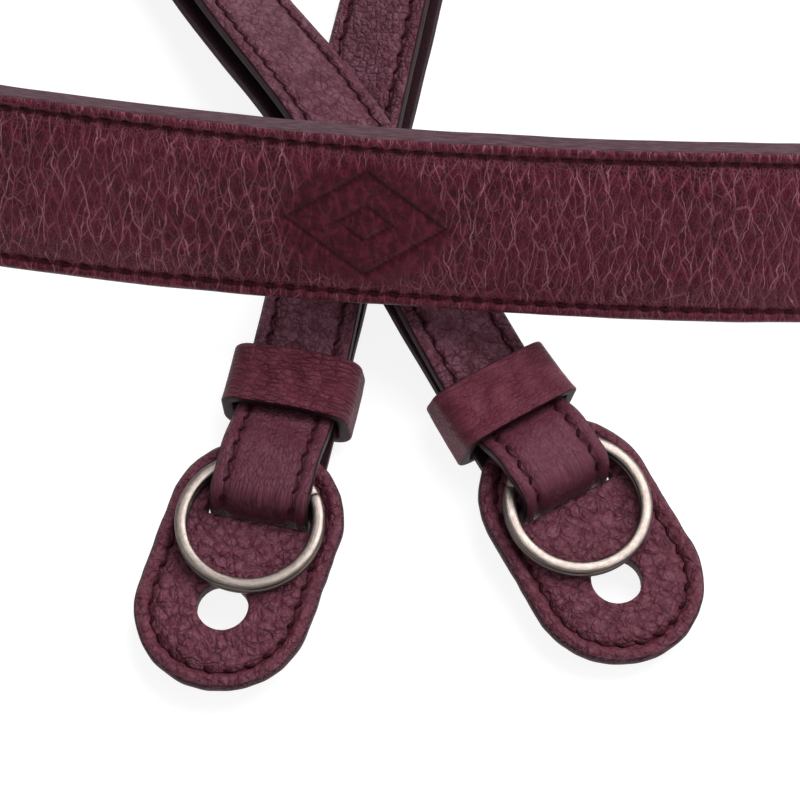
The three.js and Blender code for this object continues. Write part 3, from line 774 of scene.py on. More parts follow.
def sew(name, rows, slant, thread, length):
    """Stitches along rows of seam points, each row a pair of arrays: its points and its normals."""
    points, normals = (np.concatenate(column) for column in zip(*rows))
    edges = []
    start = 0
    for row, _ in rows:
        edges += [(start + i, start + i + 1) for i in range(len(row) - 1)]
        start += len(row)
    seam = bpy.data.meshes.new(name + "_seam")
    seam.from_pydata(((points + LAID_AT) * MM).tolist(), edges, [])
    up = seam.attributes.new("face_up", "FLOAT_VECTOR", "POINT")
    up.data.foreach_set("vector", normals.ravel())
    piece = bpy.data.objects.new(name, seam)
    bpy.context.scene.collection.objects.link(piece)
    modifier = piece.modifiers.new("stitches", "NODES")
    modifier.node_group = STITCHES
    # The stitches take the darker thread as painted shade; the thin links between them take the
    # plain thread
    values = {"Pitch": STITCH_PITCH * MM, "Stitch Length": length * MM,
              "Thread Width": thread * MM, "Slant": math.radians(slant),
              "Looseness": math.radians(LOOSENESS), "Thread": SHADED_THREAD, "Link Thread": THREAD}
    for item in STITCHES.interface.items_tree:
        if item.in_out == "INPUT" and item.name in values:
            modifier[item.identifier] = values[item.name]
    bpy.context.view_layer.update()
    evaluated = piece.evaluated_get(bpy.context.evaluated_depsgraph_get())
    sewn = bpy.data.meshes.new_from_object(evaluated)
    sewn.name = name
    piece.modifiers.clear()
    piece.data = sewn
    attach(piece, "root")


def seam_row(place, level, up):
    """Points and normals of a row of stitches. place gives the row's points at a height."""
    at = place(level)
    normals = place(level + up) - at
    return at, normals / np.linalg.norm(normals, axis=-1, keepdims=True)


# ---------- leather, drawn flat

def dip(x, at, width):
    """A rounded groove one deep at a place, and nothing beyond its half width."""
    t = clamp(abs(x - at) / width)
    return (1 - t * t) ** 2


def worn(inset, reach):
    """How far a corner is rounded away: 1 at the edge, 0 from its reach inwards."""
    return (1 - smooth(inset, 0.0, reach)) ** 2


def pull_at(along):
    """How hard the thread pulls at a place along a seam, 1 at each stitch."""
    return 0.5 + 0.5 * np.cos(2 * np.pi * along / STITCH_PITCH)


def both_halves(values, sign=1):
    """Values from one edge to the middle, then back, with a sign, to the other edge."""
    return np.concatenate([values, sign * values[-2::-1]])


def on_face(shape, values):
    """A mark that lies on the grain face only, which takes up the first columns of a sweep."""
    mark = np.zeros(shape)
    mark[:, :np.shape(values)[-1]] = values
    return mark


def rippled(flat, across, seed, shift, scale):
    """Slow changes along a cut edge, from -1 to 1, signed as its side is."""
    side = np.sign(across)
    return wander(flat + side[..., None] * shift, scale, seed) * side


def gone_along(line):
    """Distance from the start of a line to each of its points."""
    return np.concatenate([[0], np.cumsum(np.linalg.norm(np.diff(line, axis=0), axis=1))])


def outward_normals(outline):
    """Normals of a closed outline that runs counterclockwise."""
    run = np.roll(outline, -1, axis=0) - np.roll(outline, 1, axis=0)
    run /= np.linalg.norm(run, axis=1, keepdims=True)
    return np.stack([run[:, 1], -run[:, 0]], axis=1)


# ---------- neck band

PAD_SEAM = 1.6          # from the edge to the stitches
PAD_GROOVE = 0.20       # depth of the stitched channel in the grain face
RIM_SPAN = 3.2          # width beside each edge that keeps its shape along the taper
SEAM_STOP = 9.0         # from each end of the band to its last stitch
PAD_MIDDLE = STRAP_LEATHER + TONGUE_GAP / 2
STAMP_AT = -3.7         # along the band, where the tooled lozenge sits
STAMP_REACH = 10.0      # each way from there, where the mesh is fine
LOZENGE_LONG = 9.4
LOZENGE_HIGH = 7.0
HALF_PAD = PAD_WIDTH / 2
HALF_EDGE = PAD_EDGE / 2

# Columns round the band: insets from the edge on both faces, and heights on the cut edges
FACE_INSETS = np.concatenate([
    (0.0, 0.16, 0.36, 0.6, 0.86, 1.1, 1.35, 1.6, 1.85, 2.1, 2.4, 2.8, 3.2),
    np.linspace(RIM_SPAN, HALF_PAD, 20)[1:]])
BACK_INSETS = np.array((0.0, 0.2, 0.5, 1.0, 1.35, 1.6, 1.85, 2.2, 3.2, 6.0, 9.0, HALF_PAD))
EDGE_ROWS = np.linspace(0.72, -0.74, 6)


def pad_face_height(inset, along, full):
    """Height of the grain face over the plain edge, from the distance to the edge."""
    pull = pull_at(along)
    return (PAD_CROWN * smooth(inset, PAD_SEAM, PAD_SEAM + 4.2) * full
            - 0.42 * worn(inset, 0.5)
            + 0.16 * dip(inset, 0.85, 0.75)
            - (PAD_GROOVE + 0.16 * pull) * dip(inset, PAD_SEAM, 0.68)
            - 0.13 * pull * dip(inset, PAD_SEAM + 0.9, 1.9))


def half_pad(along):
    """Half the band's width at a place along it."""
    return mix(PAD_WIDTH, TONGUE_WIDTH, smooth(np.abs(along), PAD_END - PAD_TAPER, PAD_END)) / 2


def lay_band(along, across, up):
    """Places in the laid band. The distance from its middle is negative on the right."""
    sides = [lay(name, np.abs(along), across, up) for name in ("right", "left")]
    return np.where(np.broadcast_to(along < 0, sides[0].shape[:-1])[..., None], *sides)


def neck_pad():
    reach = PAD_END + TONGUE_LENGTH
    coarse = np.arange(0.3, reach, 0.58)
    coarse = np.concatenate([[-reach], -coarse[::-1], coarse, [reach]])
    fine = np.arange(STAMP_AT - STAMP_REACH, STAMP_AT + STAMP_REACH, 0.25)
    outside = np.abs(coarse - STAMP_AT) > STAMP_REACH + 0.2
    along = np.sort(np.concatenate([coarse[outside], fine]))[:, None]
    thinning = smooth(np.abs(along), PAD_END - PAD_THINNING, PAD_END)
    full = 1 - thinning
    half_here = half_pad(along)

    def place(insets, sign):
        """Across the band, for insets on one of its faces."""
        inset = both_halves(insets)
        inner_share = (inset - RIM_SPAN) / (HALF_PAD - RIM_SPAN)
        here = np.where(inset < RIM_SPAN, inset, mix(RIM_SPAN, half_here, inner_share))
        return inset, both_halves(np.full(len(insets), sign), -1) * (half_here - here)

    face, face_across = place(FACE_INSETS, 1)
    back, back_across = place(BACK_INSETS, -1)
    from_stamp = along - STAMP_AT
    lozenge = np.abs(from_stamp) / LOZENGE_LONG + np.abs(face_across) / LOZENGE_HIGH
    tooled = np.maximum(dip(lozenge, 1.0, 0.062), 0.8 * dip(lozenge, 0.34, 0.062))
    face_up = (HALF_EDGE + pad_face_height(face, along, full) * full
               - 0.42 * tooled - 0.14 * (1 - smooth(lozenge, 0.93, 1.0)))
    pull = pull_at(along)
    back_up = -HALF_EDGE + full * (0.4 * worn(back, 0.45)
                                   + (0.28 + 0.08 * pull) * dip(back, PAD_SEAM, 0.7)
                                   - 0.12 * smooth(back, 2.0, 6.0))
    edge_up = np.broadcast_to(EDGE_ROWS * HALF_EDGE, (len(along), len(EDGE_ROWS)))
    edge_across = np.broadcast_to(half_here, edge_up.shape)
    across = np.concatenate([face_across, -edge_across, back_across, edge_across], axis=1)
    thick = mix(PAD_EDGE, TONGUE_THICKNESS, thinning) / PAD_EDGE
    up = np.concatenate([face_up, edge_up, back_up, -edge_up], axis=1) * thick + PAD_MIDDLE

    shape = across.shape
    flat = np.stack([np.broadcast_to(along, shape), across, up], axis=-1)
    soft = wander(flat * (1, 1, 0), 9.0, 1) * 0.16 + wander(flat * (1, 0.6, 0), 3.4, 2) * 0.05
    up = up + soft * on_face(shape, smooth(face, PAD_SEAM, PAD_SEAM + 3.0)) * full
    across = across + (rippled(flat * (1, 0, 0), across, 3, 40, 6.0) * 0.10
                       * smooth(np.abs(across) / half_here, 0.86, 0.99))

    kinds = np.ones(shape[1], dtype=int)
    for first, count in ((0, len(face)), (len(face) + len(EDGE_ROWS), len(back))):
        kinds[first + 1:first + count - 2] = 0
    near = np.hypot(from_stamp / 11.0, across / 9.0)
    calm = np.maximum(on_face(shape, 0.45 * dip(face, PAD_SEAM - 0.4, 1.5)),
                      0.88 * (1 - smooth(near, 0.78, 1.05)))
    # Painted shade in the stitched channel, stronger where the thread pulls in at each stitch
    seam = dip(face, PAD_SEAM, 0.42) * mix(0.1, 0.5, pull)
    marks = {"flat": flat, "calm": calm, "tooled": on_face(shape, tooled),
             "seam": on_face(shape, seam),
             "puckered": on_face(shape, dip(face, PAD_SEAM + 0.4, 1.5))}
    piece = sweep("padded_neck_band", lay_band(along, across, up), kinds, (BAND, BAND_PAINT), marks)
    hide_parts("neck_pad")
    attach(piece, "root")

    run = np.arange(SEAM_STOP - PAD_END, PAD_END - SEAM_STOP, 0.6)
    face_level = HALF_EDGE - PAD_GROOVE + 0.12 + PAD_MIDDLE
    back_level = -HALF_EDGE + 0.18 + PAD_MIDDLE
    rows = [seam_row(lambda up: lay_band(run, sign * (half_pad(run) - PAD_SEAM), up), level, lift)
            for sign in (1, -1) for level, lift in ((face_level, 1), (back_level, -1))]
    sew("band_stitches", rows, -16, 0.36, 1.3)


# ---------- narrow straps

STRAP_SEAM = 1.8
STRAP_GROOVE = 0.26
FOLD_WRINKLES_AND_SHADE = {"left": 0.9, "right": 0.45}   # how strongly each side's fold is wrinkled, and darkened as painted shade
EASING = 1.5            # how far each way the bend over the ring's edge is rounded
OPEN_ROWS = 4           # mesh rows at the open ends that carry no stitches
ROWS_OVER = 6           # mesh rows of the fold's front that the upper stitches reach over
ROWS_UNDER = 30         # mesh rows from the front to where the lower stitches start


def fold_line(name):
    """Inner face of the folded strip in side view, as places from the slit and heights."""
    side = SIDES[name]
    crest = crest_height(name)
    tab_top = STRAP_LEATHER + LAY_GAP + TAB_LEATHER
    slit_face = STRAP_LEATHER / 2
    shift_across, shift_along = side["ring_shift"]
    inside_ring = RING_OUTSIDE / 2 - WIRE_WIDTH - LAY_GAP
    half_chord = STRAP_WIDTH / 2 + abs(shift_across)
    crest_end = math.sqrt(inside_ring ** 2 - half_chord ** 2) + shift_along
    nose_start = max(crest_end, slit_face + WIRE_WIDTH / 2)
    fine_until = side["keeper_at"] + 2 * KEEPER_LENGTH
    stations = np.concatenate([np.arange(STRAP_LENGTH, fine_until, -0.62),
                               np.arange(fine_until, ring_reach(name), -0.3),
                               [ring_reach(name)]])

    def eased(place):
        """Height of the upper layer, with the bend over the ring's edge made round."""
        near = [place + EASING * k / 6 for k in range(-6, 7)]
        return sum(crest if s < ring_reach(name) else upper_layer(name, s) for s in near) / 13

    upper = [(s, eased(s)) for s in stations]
    bridge = [(s, eased(s)) for s in np.linspace(ring_reach(name), nose_start, 22)[1:-1]]
    nose = [(nose_start - (nose_start - slit_face) * math.sin(a),
             tab_top + (crest - tab_top) * math.cos(a)) for a in np.linspace(0, math.pi / 2, 17)]
    drop = [(slit_face, h) for h in np.linspace(tab_top, STRAP_LEATHER + FOLD_CORNER, 6)[1:-1]]
    corner = [(slit_face + FOLD_CORNER * (1 - math.cos(a)),
               STRAP_LEATHER + FOLD_CORNER * (1 - math.sin(a)))
              for a in np.linspace(0, math.pi / 2, 8)]
    back = [(s, STRAP_LEATHER)
            for s in np.linspace(slit_face + FOLD_CORNER, ring_reach(name), 20)[1:-1]]
    lower = [(s, STRAP_LEATHER) for s in stations[::-1]]
    line = np.array(upper + bridge + nose + drop + corner + back + lower)
    front = len(upper) + len(bridge), len(upper) + len(bridge) + len(nose)
    return line, front


def outside_of(line, height):
    """Points at heights outside a line, square to it. Heights are an array of rows by columns."""
    ahead = np.vstack([line[1:], line[-1:]])
    behind = np.vstack([line[:1], line[:-1]])
    run = ahead - behind
    run /= np.linalg.norm(run, axis=1, keepdims=True)
    x = line[:, :1] + run[:, 1:] * height
    y = line[:, 1:] - run[:, :1] * height
    return x, y


def strap_face_height(inset, along):
    """Height of the grain face over the plain strip, from the distance to the edge."""
    return (0.10 * smooth(inset, STRAP_SEAM, STRAP_SEAM + 2.0)
            - 0.34 * worn(inset, 0.45)
            + 0.07 * dip(inset, 0.95, 0.8)
            - (STRAP_GROOVE + 0.10 * pull_at(along)) * dip(inset, STRAP_SEAM, 0.7))


def folded_strap(name):
    line, front = fold_line(name)
    gone = gone_along(line)[:, None]
    half = STRAP_WIDTH / 2
    insets = np.array((0.0, 0.15, 0.4, 0.8, 1.15, 1.45, 1.8, 2.15, 2.5, 3.2, 4.4, half))
    face = both_halves(insets)
    edge_up = np.linspace(STRAP_LEATHER - 0.55, 0.25, 4)
    lining = np.linspace(-half + 0.2, half - 0.2, 8)
    shape = (len(line), len(face) + 2 * len(edge_up) + len(lining))
    heights = np.broadcast_to(
        np.concatenate([face * 0, edge_up, lining * 0, edge_up[::-1]]), shape)
    heights = heights + on_face(shape, STRAP_LEATHER + strap_face_height(face, gone))
    across = np.broadcast_to(np.concatenate([
        both_halves(half - insets, -1), np.full(4, -half), lining, np.full(4, half)]), shape)
    flat = np.stack([np.broadcast_to(gone, shape), across, heights], axis=-1)
    heights = heights + wander(flat * (1, 1, 0) + 70, 5.0, 4) * 0.05 * on_face(shape, face * 0 + 1)
    across = across + (rippled(flat * (1, 0, 0), across, 5, 30, 5.0) * 0.07
                       * (np.abs(across) > half - 0.5))
    x, y = outside_of(line, heights)
    kinds = np.ones(shape[1], dtype=int)
    kinds[1:len(face) - 2] = 0
    lining_start = len(face) + len(edge_up) - 1
    kinds[lining_start:lining_start + len(lining) + 1] = 2
    from_front = np.abs(gone - gone[sum(front) // 2])
    calm = 0.75 * (1 - smooth(from_front, 8.0, 17.0)) * np.ones(shape)
    # Painted shade in the stitched channel, stronger where the thread pulls in at each stitch
    seam = dip(face, STRAP_SEAM, 0.6) * mix(0.3, 0.6, pull_at(gone))
    # The drawn mark wrinkles the fold and also darkens it as painted shade, more on the left side
    marks = {"flat": flat, "calm": calm, "seam": on_face(shape, seam),
             "drawn": calm * FOLD_WRINKLES_AND_SHADE[name]}
    piece = sweep(f"{name}_folded_strap", lay(name, HALF_LENGTH - x, across, y), kinds,
                  (STRAP, PAINT, FLESH), marks)
    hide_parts(f"{name}_strap")
    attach(piece, "root")

    rows = []
    for sign in (1, -1):
        for part in (line[OPEN_ROWS:front[0] + ROWS_OVER],
                     line[front[1] + ROWS_UNDER:-OPEN_ROWS]):
            def place(height):
                x, y = outside_of(part, np.full((len(part), 1), height))
                return lay(name, HALF_LENGTH - x[:, 0], sign * (half - STRAP_SEAM), y[:, 0])
            rows.append(seam_row(place, STRAP_LEATHER - 0.13, 1))
    sew(f"{name}_strap_stitches", rows, -28, 0.42, 1.2)


# ---------- keepers

SMOOTHNESS = {"left": 0.1, "right": 0.55}      # how little each side's keeper is wrinkled
KEEPER_ROUNDING = 0.34


def loop_outline(half, bottom, top, corner, arch, steps):
    """Rounded loop outline with an arched top, counterclockwise from below right."""
    centres = [(half - corner, bottom + corner), (half - corner, top - corner),
               (corner - half, top - corner), (corner - half, bottom + corner)]
    points = []
    for k, fineness in enumerate((1, 3, 1, 2)):
        (x, y), (next_x, next_y) = centres[k], centres[(k + 1) % 4]
        turn = [(corner * math.cos(a), corner * math.sin(a))
                for a in np.linspace((k - 1) * math.pi / 2, k * math.pi / 2, steps)]
        points += [(x + out_x, y + out_y) for out_x, out_y in turn]
        out_x, out_y = turn[-1]
        for t in np.linspace(0, 1, fineness * steps)[1:-1]:
            rise = 4 * arch * t * (1 - t) if k == 1 else 0
            points.append((mix(x, next_x, t) + out_x, mix(y, next_y, t) + out_y + rise))
    return np.array(points)


def keeper(name):
    keeper_at = SIDES[name]["keeper_at"]
    tallest = stack_height(name, keeper_at - KEEPER_LENGTH / 2)
    inner = loop_outline(STRAP_WIDTH / 2 + KEEPER_EASE, -KEEPER_ROOM, tallest + KEEPER_ROOM,
                         KEEPER_CORNER, KEEPER_ARCH, 9)
    normals = outward_normals(inner)
    ends = KEEPER_LENGTH / 2
    outer_face = [(s, KEEPER_LEATHER)
                  for s in np.linspace(ends - KEEPER_ROUNDING, KEEPER_ROUNDING - ends, 15)]
    # Each end of the leather, as depths from the end and heights: rounded outside, cut inside
    end = [(KEEPER_ROUNDING * (1 - math.sin(a)),
            KEEPER_LEATHER - KEEPER_ROUNDING * (1 - math.cos(a)))
           for a in np.linspace(0, math.pi / 2, 4)[1:]]
    end += [(0, KEEPER_LEATHER * 0.45), (0, 0.12), (0.12, 0.0)]
    profile = np.array(outer_face + [(-ends + depth, out) for depth, out in end]
                       + [(s, 0.0) for s in np.linspace(-ends + 1, ends - 1, 5)]
                       + [(ends - depth, out) for depth, out in end[::-1]])
    shape = (len(inner), len(profile))
    lengthwise = np.broadcast_to(profile[:, 0], shape)
    out = np.broadcast_to(profile[:, 1], shape)
    flat = np.stack([lengthwise, np.broadcast_to(gone_along(inner)[:, None], shape), out], -1)
    out = out + wander(flat * (1, 0.4, 0) + 11, 2.4, 6) * 0.07 * (out > 1.2)
    lengthwise = lengthwise + (rippled(flat * (0, 1, 0), lengthwise, 7, 9, 4.0) * 0.10
                               * (np.abs(lengthwise) > ends - 0.5))
    across = inner[:, None, 0] + normals[:, None, 0] * out
    up = inner[:, None, 1] + normals[:, None, 1] * out
    from_slit = keeper_at + lengthwise
    stack = np.vectorize(lambda s: stack_height(name, s))(from_slit)
    settled = (tallest - stack) * smooth(up, 0, tallest)
    kinds = np.zeros(len(profile), dtype=int)
    kinds[len(outer_face) + 1:len(outer_face) + len(end) - 1] = 1
    kinds[1 - len(end):-1] = 1
    piece = sweep(f"{name}_keeper_loop", lay(name, HALF_LENGTH - from_slit, across, up - settled),
                  kinds, (KEEPER, PAINT),
                  {"flat": flat, "calm": np.full(shape, SMOOTHNESS[name])}, closed=True)
    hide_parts(f"{name}_keeper")
    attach(piece, "root")


# ---------- tabs

TAB_SEAM = 2.0
TAB_RADIUS = TAB_WIDTH / 2
TAB_TOP = TAB_HEAD - TAB_RADIUS                     # middle of the upper round end
TAB_LOW = TAB_HEAD - TAB_LENGTH + TAB_RADIUS        # middle of the lower one
HOLE_RADIUS = TAB_HOLE / 2
HOLE_Y = TAB_HEAD - TAB_LENGTH + TAB_HOLE_FROM_END
HALF_SLIT = (STRAP_WIDTH / 2 + LAY_GAP, STRAP_LEATHER / 2 + LAY_GAP)
TAB_PULLS = 38          # dimples of the thread round the tab
MESH_SPACING = 0.42     # between points in the middle of the tab
RIM_BULGE = 0.10        # how far the rim's cut edge stands out at half its height
GRAIN_SHIFT = 40        # keeps the two tabs from having the same grain


def end_frame(name):
    """Place and directions at the ring's end: sideways, up the strap and out of its face."""
    origin, along, _, face = frame_at(name, HALF_LENGTH)
    up_strap = -along
    return origin, np.cross(up_strap, face), up_strap, face


def laid_at_end(name, x, y, z):
    """Places of points given sideways, up the strap, and above the lower layer's face."""
    origin, sideways, up_strap, face = end_frame(name)
    z = z + STRAP_LEATHER + LAY_GAP
    return (origin + sideways * x[..., None] + up_strap * y[..., None] + face * z[..., None])


def turned(x, y, degrees):
    c, s = math.cos(math.radians(degrees)), math.sin(math.radians(degrees))
    return x * c - y * s, x * s + y * c


def stadium_inset(x, y):
    """Distance inwards from the tab's outline."""
    return TAB_RADIUS - np.hypot(x, y - np.clip(y, TAB_LOW, TAB_TOP))


def stadium(inset, count):
    """The tab's outline, so far inwards, as an even number of points from below right."""
    radius = TAB_RADIUS - inset
    straight = TAB_TOP - TAB_LOW
    half = []
    for s in np.arange(count // 2) * 2 / count * (straight + math.pi * radius):
        a = (s - straight) / radius
        half.append((radius, TAB_LOW + s) if s < straight
                    else (radius * math.cos(a), TAB_TOP + radius * math.sin(a)))
    return np.concatenate([half, np.array((0, TAB_TOP + TAB_LOW)) - half])


def hole_circle(radius):
    angles = np.linspace(0, 2 * math.pi, 60, endpoint=False)
    return np.stack([radius * np.cos(angles), HOLE_Y + radius * np.sin(angles)], axis=1)


def tab_piece(name):
    turn, shift = SIDES[name]["tab_turn"], SIDES[name]["tab_shift"]
    seed = 8 if name == "left" else 9

    def from_hole(x, y):
        return np.hypot(x, y - HOLE_Y) - HOLE_RADIUS

    def from_slit(x, y):
        u, v = turned(x, y, turn)
        dx = np.abs(u + shift) - HALF_SLIT[0]
        dy = np.abs(v) - HALF_SLIT[1]
        return np.hypot(np.maximum(dx, 0), np.maximum(dy, 0)) + np.minimum(np.maximum(dx, dy), 0)

    long, high = HALF_SLIT
    corners = [(-long, -high), (long, -high), (long, high), (-long, high)]
    box = [(mix(x0, x1, t), mix(y0, y1, t))
           for (x0, y0), (x1, y1), steps in zip(corners, corners[1:] + corners, (26, 5, 26, 5))
           for t in np.arange(steps) / steps]
    slit = np.stack(turned(*(np.array(box) - (shift, 0)).T, -turn), axis=1)
    rim = stadium(0.0, 300)
    borders = [rim, hole_circle(HOLE_RADIUS), slit]

    gx, gy = np.meshgrid(np.arange(-TAB_RADIUS, TAB_RADIUS, MESH_SPACING),
                         np.arange(TAB_HEAD - TAB_LENGTH, TAB_HEAD, MESH_SPACING))
    gx = gx + (np.arange(gx.shape[0]) % 2)[:, None] * MESH_SPACING / 2
    field = np.stack([gx.ravel(), gy.ravel()], axis=1)
    field = field[stadium_inset(*field.T) > 3.4]
    rings = [stadium(inset, 280)
             for inset in (0.18, 0.42, 0.75, 1.1, 1.4, 1.7, 2.0, 2.3, 2.65, 3.1)]
    spread = np.concatenate(rings + [field])
    spread = spread[from_hole(*spread.T) > 0.6]
    inner = np.concatenate([spread] + [hole_circle(HOLE_RADIUS + off) for off in (0.15, 0.4)])
    inner = inner[from_slit(*inner.T) > 0.2]

    edges = []
    start = 0
    for border in borders:
        n = len(border)
        edges += [(start + i, start + (i + 1) % n) for i in range(n)]
        start += n
    result = delaunay_2d_cdt([Vector(p) for p in np.concatenate(borders + [inner])], edges, [],
                             0, 1e-5)
    verts = np.array([tuple(v) for v in result[0]])
    faces = []
    for tri in result[2]:
        middle = verts[list(tri)].mean(axis=0)
        if (stadium_inset(*middle) > 0 and from_slit(*middle) >= 0
                and from_hole(*middle) >= -0.005 * HOLE_RADIUS):
            faces.append(tuple(tri))

    x, y = verts.T
    inset = np.maximum(stadium_inset(x, y), 0)
    hole_near = np.maximum(from_hole(x, y), 0)
    slit_near = np.maximum(from_slit(x, y), 0)
    pull = 0.5 + 0.5 * np.cos(TAB_PULLS * np.arctan2(y - (TAB_HEAD - TAB_LENGTH / 2), x))
    place = np.column_stack([x, y, x * 0])
    relief = (0.10 * smooth(inset, 2.2, 3.6)
              - 0.38 * worn(inset, 0.6)
              + 0.16 * dip(inset, 1.0, 0.9)
              - (0.36 + 0.14 * pull) * dip(inset, TAB_SEAM, 0.8)
              - 0.22 * worn(hole_near, 0.5) - 0.18 * worn(slit_near, 0.5)
              + wander(place, 4.5, seed) * 0.12 + wander(place, 1.8, seed + 3) * 0.05)
    back = (0.45 * worn(inset, 0.6)
            + 0.24 * dip(inset, TAB_SEAM, 0.7)
            + 0.15 * worn(hole_near, 0.4) + 0.15 * worn(slit_near, 0.4))
    top = np.column_stack([x, y, TAB_LEATHER + relief])
    bottom = np.column_stack([x, y, back])

    # Both faces, then the walls of the rim, the hole and the slit, each with rows between them
    count = len(verts)
    shell = faces + [tuple(i + count for i in face[::-1]) for face in faces]
    kinds = [int(inset[list(face)].max() < 0.2) for face in faces] * 2
    points = [top, bottom]
    total = 2 * count
    start = 0
    for border in borders:
        n = len(border)
        top_row = np.arange(start, start + n)
        levels = [top_row]
        for share in (0.72, 0.5, 0.28):
            z = mix(bottom[top_row, 2], top[top_row, 2], share)
            placed = border
            if border is rim:
                bulge = (RIM_BULGE * math.sin(math.pi * share)
                         + 0.06 * wander(np.column_stack([border, z * 0]), 3.0, 12))
                placed = border + outward_normals(border) * bulge[:, None]
            points.append(np.column_stack([placed, z]))
            levels.append(np.arange(total, total + n))
            total += n
        levels.append(top_row + count)
        for upper, lower in zip(levels, levels[1:]):
            wall = np.stack([upper, lower, np.roll(lower, -1), np.roll(upper, -1)], axis=1)
            shell += [tuple(quad) for quad in (wall if border is rim else wall[:, ::-1]).tolist()]
            kinds += [1] * n
        start += n
    local = np.concatenate(points)
    flat = local + seed * GRAIN_SHIFT
    outwards = local[:, :2] - np.column_stack([local[:, 0] * 0,
                                               np.clip(local[:, 1], TAB_LOW, TAB_TOP)])
    reach = np.linalg.norm(outwards, axis=1, keepdims=True)
    ragged = (wander(local * (1, 1, 0), 1.7, seed + 20) * 0.09
              * smooth(reach[:, 0], TAB_RADIUS - 1.6, TAB_RADIUS))
    local[:, :2] += outwards / np.maximum(reach, 0.1) * ragged[:, None]
    px, py = turned(local[:, 0], local[:, 1], turn)
    calm, seam = np.zeros((2, len(local)))
    calm[:count] = 0.4 * dip(inset, TAB_SEAM - 0.6, 1.8)
    # Painted shade in the stitched channel, stronger where the thread pulls in at each stitch
    seam[:count] = dip(inset, TAB_SEAM, 0.5) * mix(0.35, 0.7, pull)
    piece = make_piece(f"{name}_rubbing_tab", laid_at_end(name, px + shift, py, local[:, 2]), shell,
                       kinds, (TAB, RAW_EDGE), {"flat": flat, "calm": calm, "seam": seam})
    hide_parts(f"{name}_tab")
    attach(piece, "root")

    line = stadium(TAB_SEAM, 200)
    sx, sy = turned(*np.vstack([line, line[:1]]).T, turn)
    rows = [seam_row(lambda z: laid_at_end(name, sx + shift, sy, np.full(len(sx), z)), level, lift)
            for level, lift in ((TAB_LEATHER - 0.26, 1), (0.14, -1))]
    sew(f"{name}_tab_stitches", rows, -24, 0.44, 1.3)


# ---------- split rings

def split_ring(name):
    side = SIDES[name]
    w, h = WIRE_WIDTH / 2, WIRE_HEIGHT / 2
    whole_turn = 2 * 2 * math.pi - math.radians(WIRE_END_GAP)
    angles = np.linspace(0, whole_turn, 300)[:, None]
    around = np.linspace(0, 2 * math.pi, 22, endpoint=False)
    wide, high = (size * np.copysign(np.abs(wave) ** 0.8, wave)
                  for size, wave in ((w, np.cos(around)), (h, np.sin(around))))
    half_step = math.radians(RING_STEP) / 2
    climb = smooth(angles, whole_turn / 2 - half_step, whole_turn / 2 + half_step)
    taper = 1 - 0.35 * (1 - smooth(np.minimum(angles, whole_turn - angles), 0.0, 0.06))
    middle = RING_OUTSIDE / 2 - w
    radius = middle + wide * taper
    theta = angles + math.radians(side["ring_spin"])
    x = radius * np.cos(theta)
    y = radius * np.sin(theta)
    z = h + high * taper + climb * (WIRE_HEIGHT + COIL_GAP)
    tilt = math.radians(side["ring_tilt"])
    leaning_y = y * math.cos(tilt) - z * math.sin(tilt)
    leaning_z = y * math.sin(tilt) + z * math.cos(tilt)
    rise = RING_OUTSIDE / 2 * math.sin(tilt)
    shift_across, shift_along = side["ring_shift"]
    grid = laid_at_end(name, x + shift_across, leaning_y + shift_along,
                       leaning_z + TAB_LEATHER + LAY_GAP + rise)
    flat = np.stack([np.broadcast_to(part, x.shape) for part in (angles * middle, wide, high)], -1)
    piece = sweep(f"{name}_split_ring", grid, np.zeros(len(around), dtype=int), (NICKEL,),
                  {"flat": flat})
    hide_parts(f"{name}_ring")
    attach(piece, "root")


# ---------- camera, floor and light

CAMERA_TARGET = Vector((8.84, -58.62, 0.0)) * MM
CAMERA_ELEVATION = math.radians(64)
CAMERA_DISTANCE = 0.7
PIXELS_PER_MM = 8.2
SENSOR = 36.0           # width of the sensor in mm
PICTURE = 800           # width of the picture in pixels
HALF_FLOOR = 3.0

# Round lamps that face the middle: place and width in metres, and watts
LAMPS = (("overhead", (0.6, 0.6, 1.45), 1.4, 30.5),
         ("left fill", (-1.5, -0.4, 0.9), 1.0, 1.8),
         ("right fill", (1.5, -0.3, 0.9), 1.0, 5.0),
         ("front fill", (0.2, -1.5, 0.6), 1.0, 1.8))


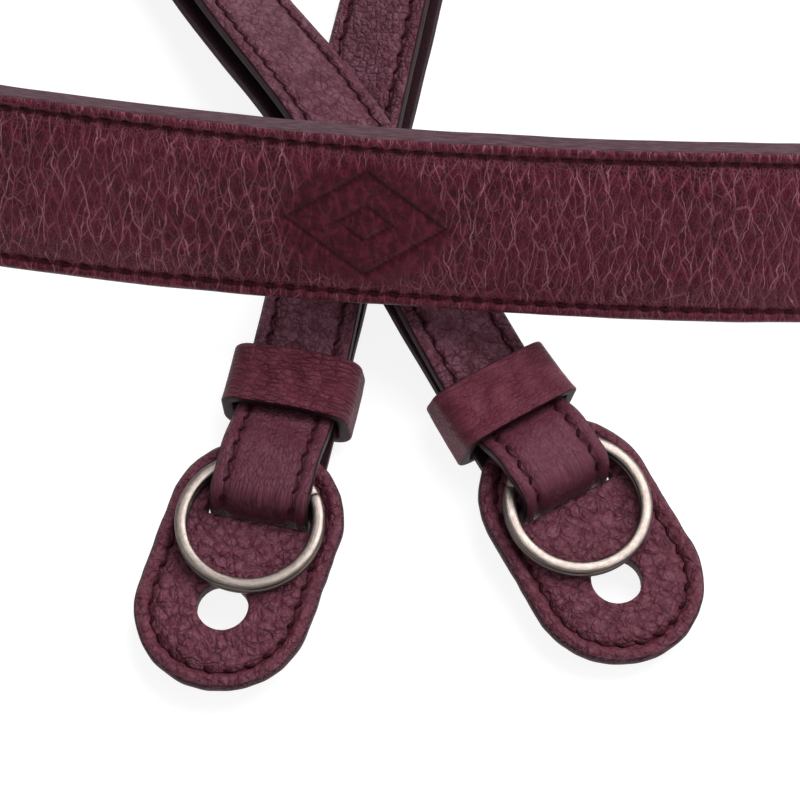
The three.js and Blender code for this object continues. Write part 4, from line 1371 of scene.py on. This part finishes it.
def stand(label, data, place=(0, 0, 0), ahead=None):
    """An object in the scene, turned to look along a direction."""
    thing = bpy.data.objects.new(label, data)
    thing.location = place
    if ahead:
        thing.rotation_euler = ahead.to_track_quat("-Z", "Y").to_euler()
    bpy.context.scene.collection.objects.link(thing)
    return thing


def studio():
    data = bpy.data.cameras.new("camera")
    data.sensor_width = SENSOR
    data.lens = PIXELS_PER_MM * CAMERA_DISTANCE / MM / PICTURE * SENSOR
    ahead = Vector((0, math.cos(CAMERA_ELEVATION), -math.sin(CAMERA_ELEVATION)))
    bpy.context.scene.camera = stand("camera", data, CAMERA_TARGET - ahead * CAMERA_DISTANCE, ahead)

    mesh = bpy.data.meshes.new("floor")
    mesh.from_pydata([(x * HALF_FLOOR, y * HALF_FLOOR, 0)
                      for x, y in ((-1, -1), (1, -1), (1, 1), (-1, 1))], [], [(0, 1, 2, 3)])
    r = Recipe("matt white floor", flat=False)
    tone = r.blend(r.noise(r.place, 3.0), rgb(136, 136, 136), rgb(142, 142, 142))
    mesh.materials.append(r.shade(
        Base_Color=tone, Roughness=0.85, Specular_IOR_Level=0.1,
        Emission_Color=(1.0, 1.0, 1.0, 1.0), Emission_Strength=0.86))
    stand("floor", mesh)

    world = bpy.data.worlds.new("studio")
    world.use_nodes = True
    sky = Tree(world.node_tree)
    up = sky.add("ShaderNodeSeparateXYZ", {0: sky.add("ShaderNodeTexCoord", out="Generated")},
                 out="Z")
    level = sky.add("ShaderNodeMapRange", {"Value": up, "From Min": -0.05, "From Max": 0.9,
                                           "To Min": 0.10, "To Max": 0.40})
    glow = sky.add("ShaderNodeBackground", {"Color": (1.0, 0.985, 0.98, 1.0), "Strength": level})
    sky.add("ShaderNodeOutputWorld", {"Surface": glow})
    bpy.context.scene.world = world

    for label, place, width, power in LAMPS:
        data = bpy.data.lights.new(label, "AREA")
        data.shape = "DISK"
        data.size = width
        data.energy = power
        stand(label, data, place, -Vector(place))
    bpy.context.scene.view_settings.view_transform = "Standard"


studio()
neck_pad()
for side_name in SIDES:
    folded_strap(side_name)
    keeper(side_name)
    tab_piece(side_name)
    split_ring(side_name)
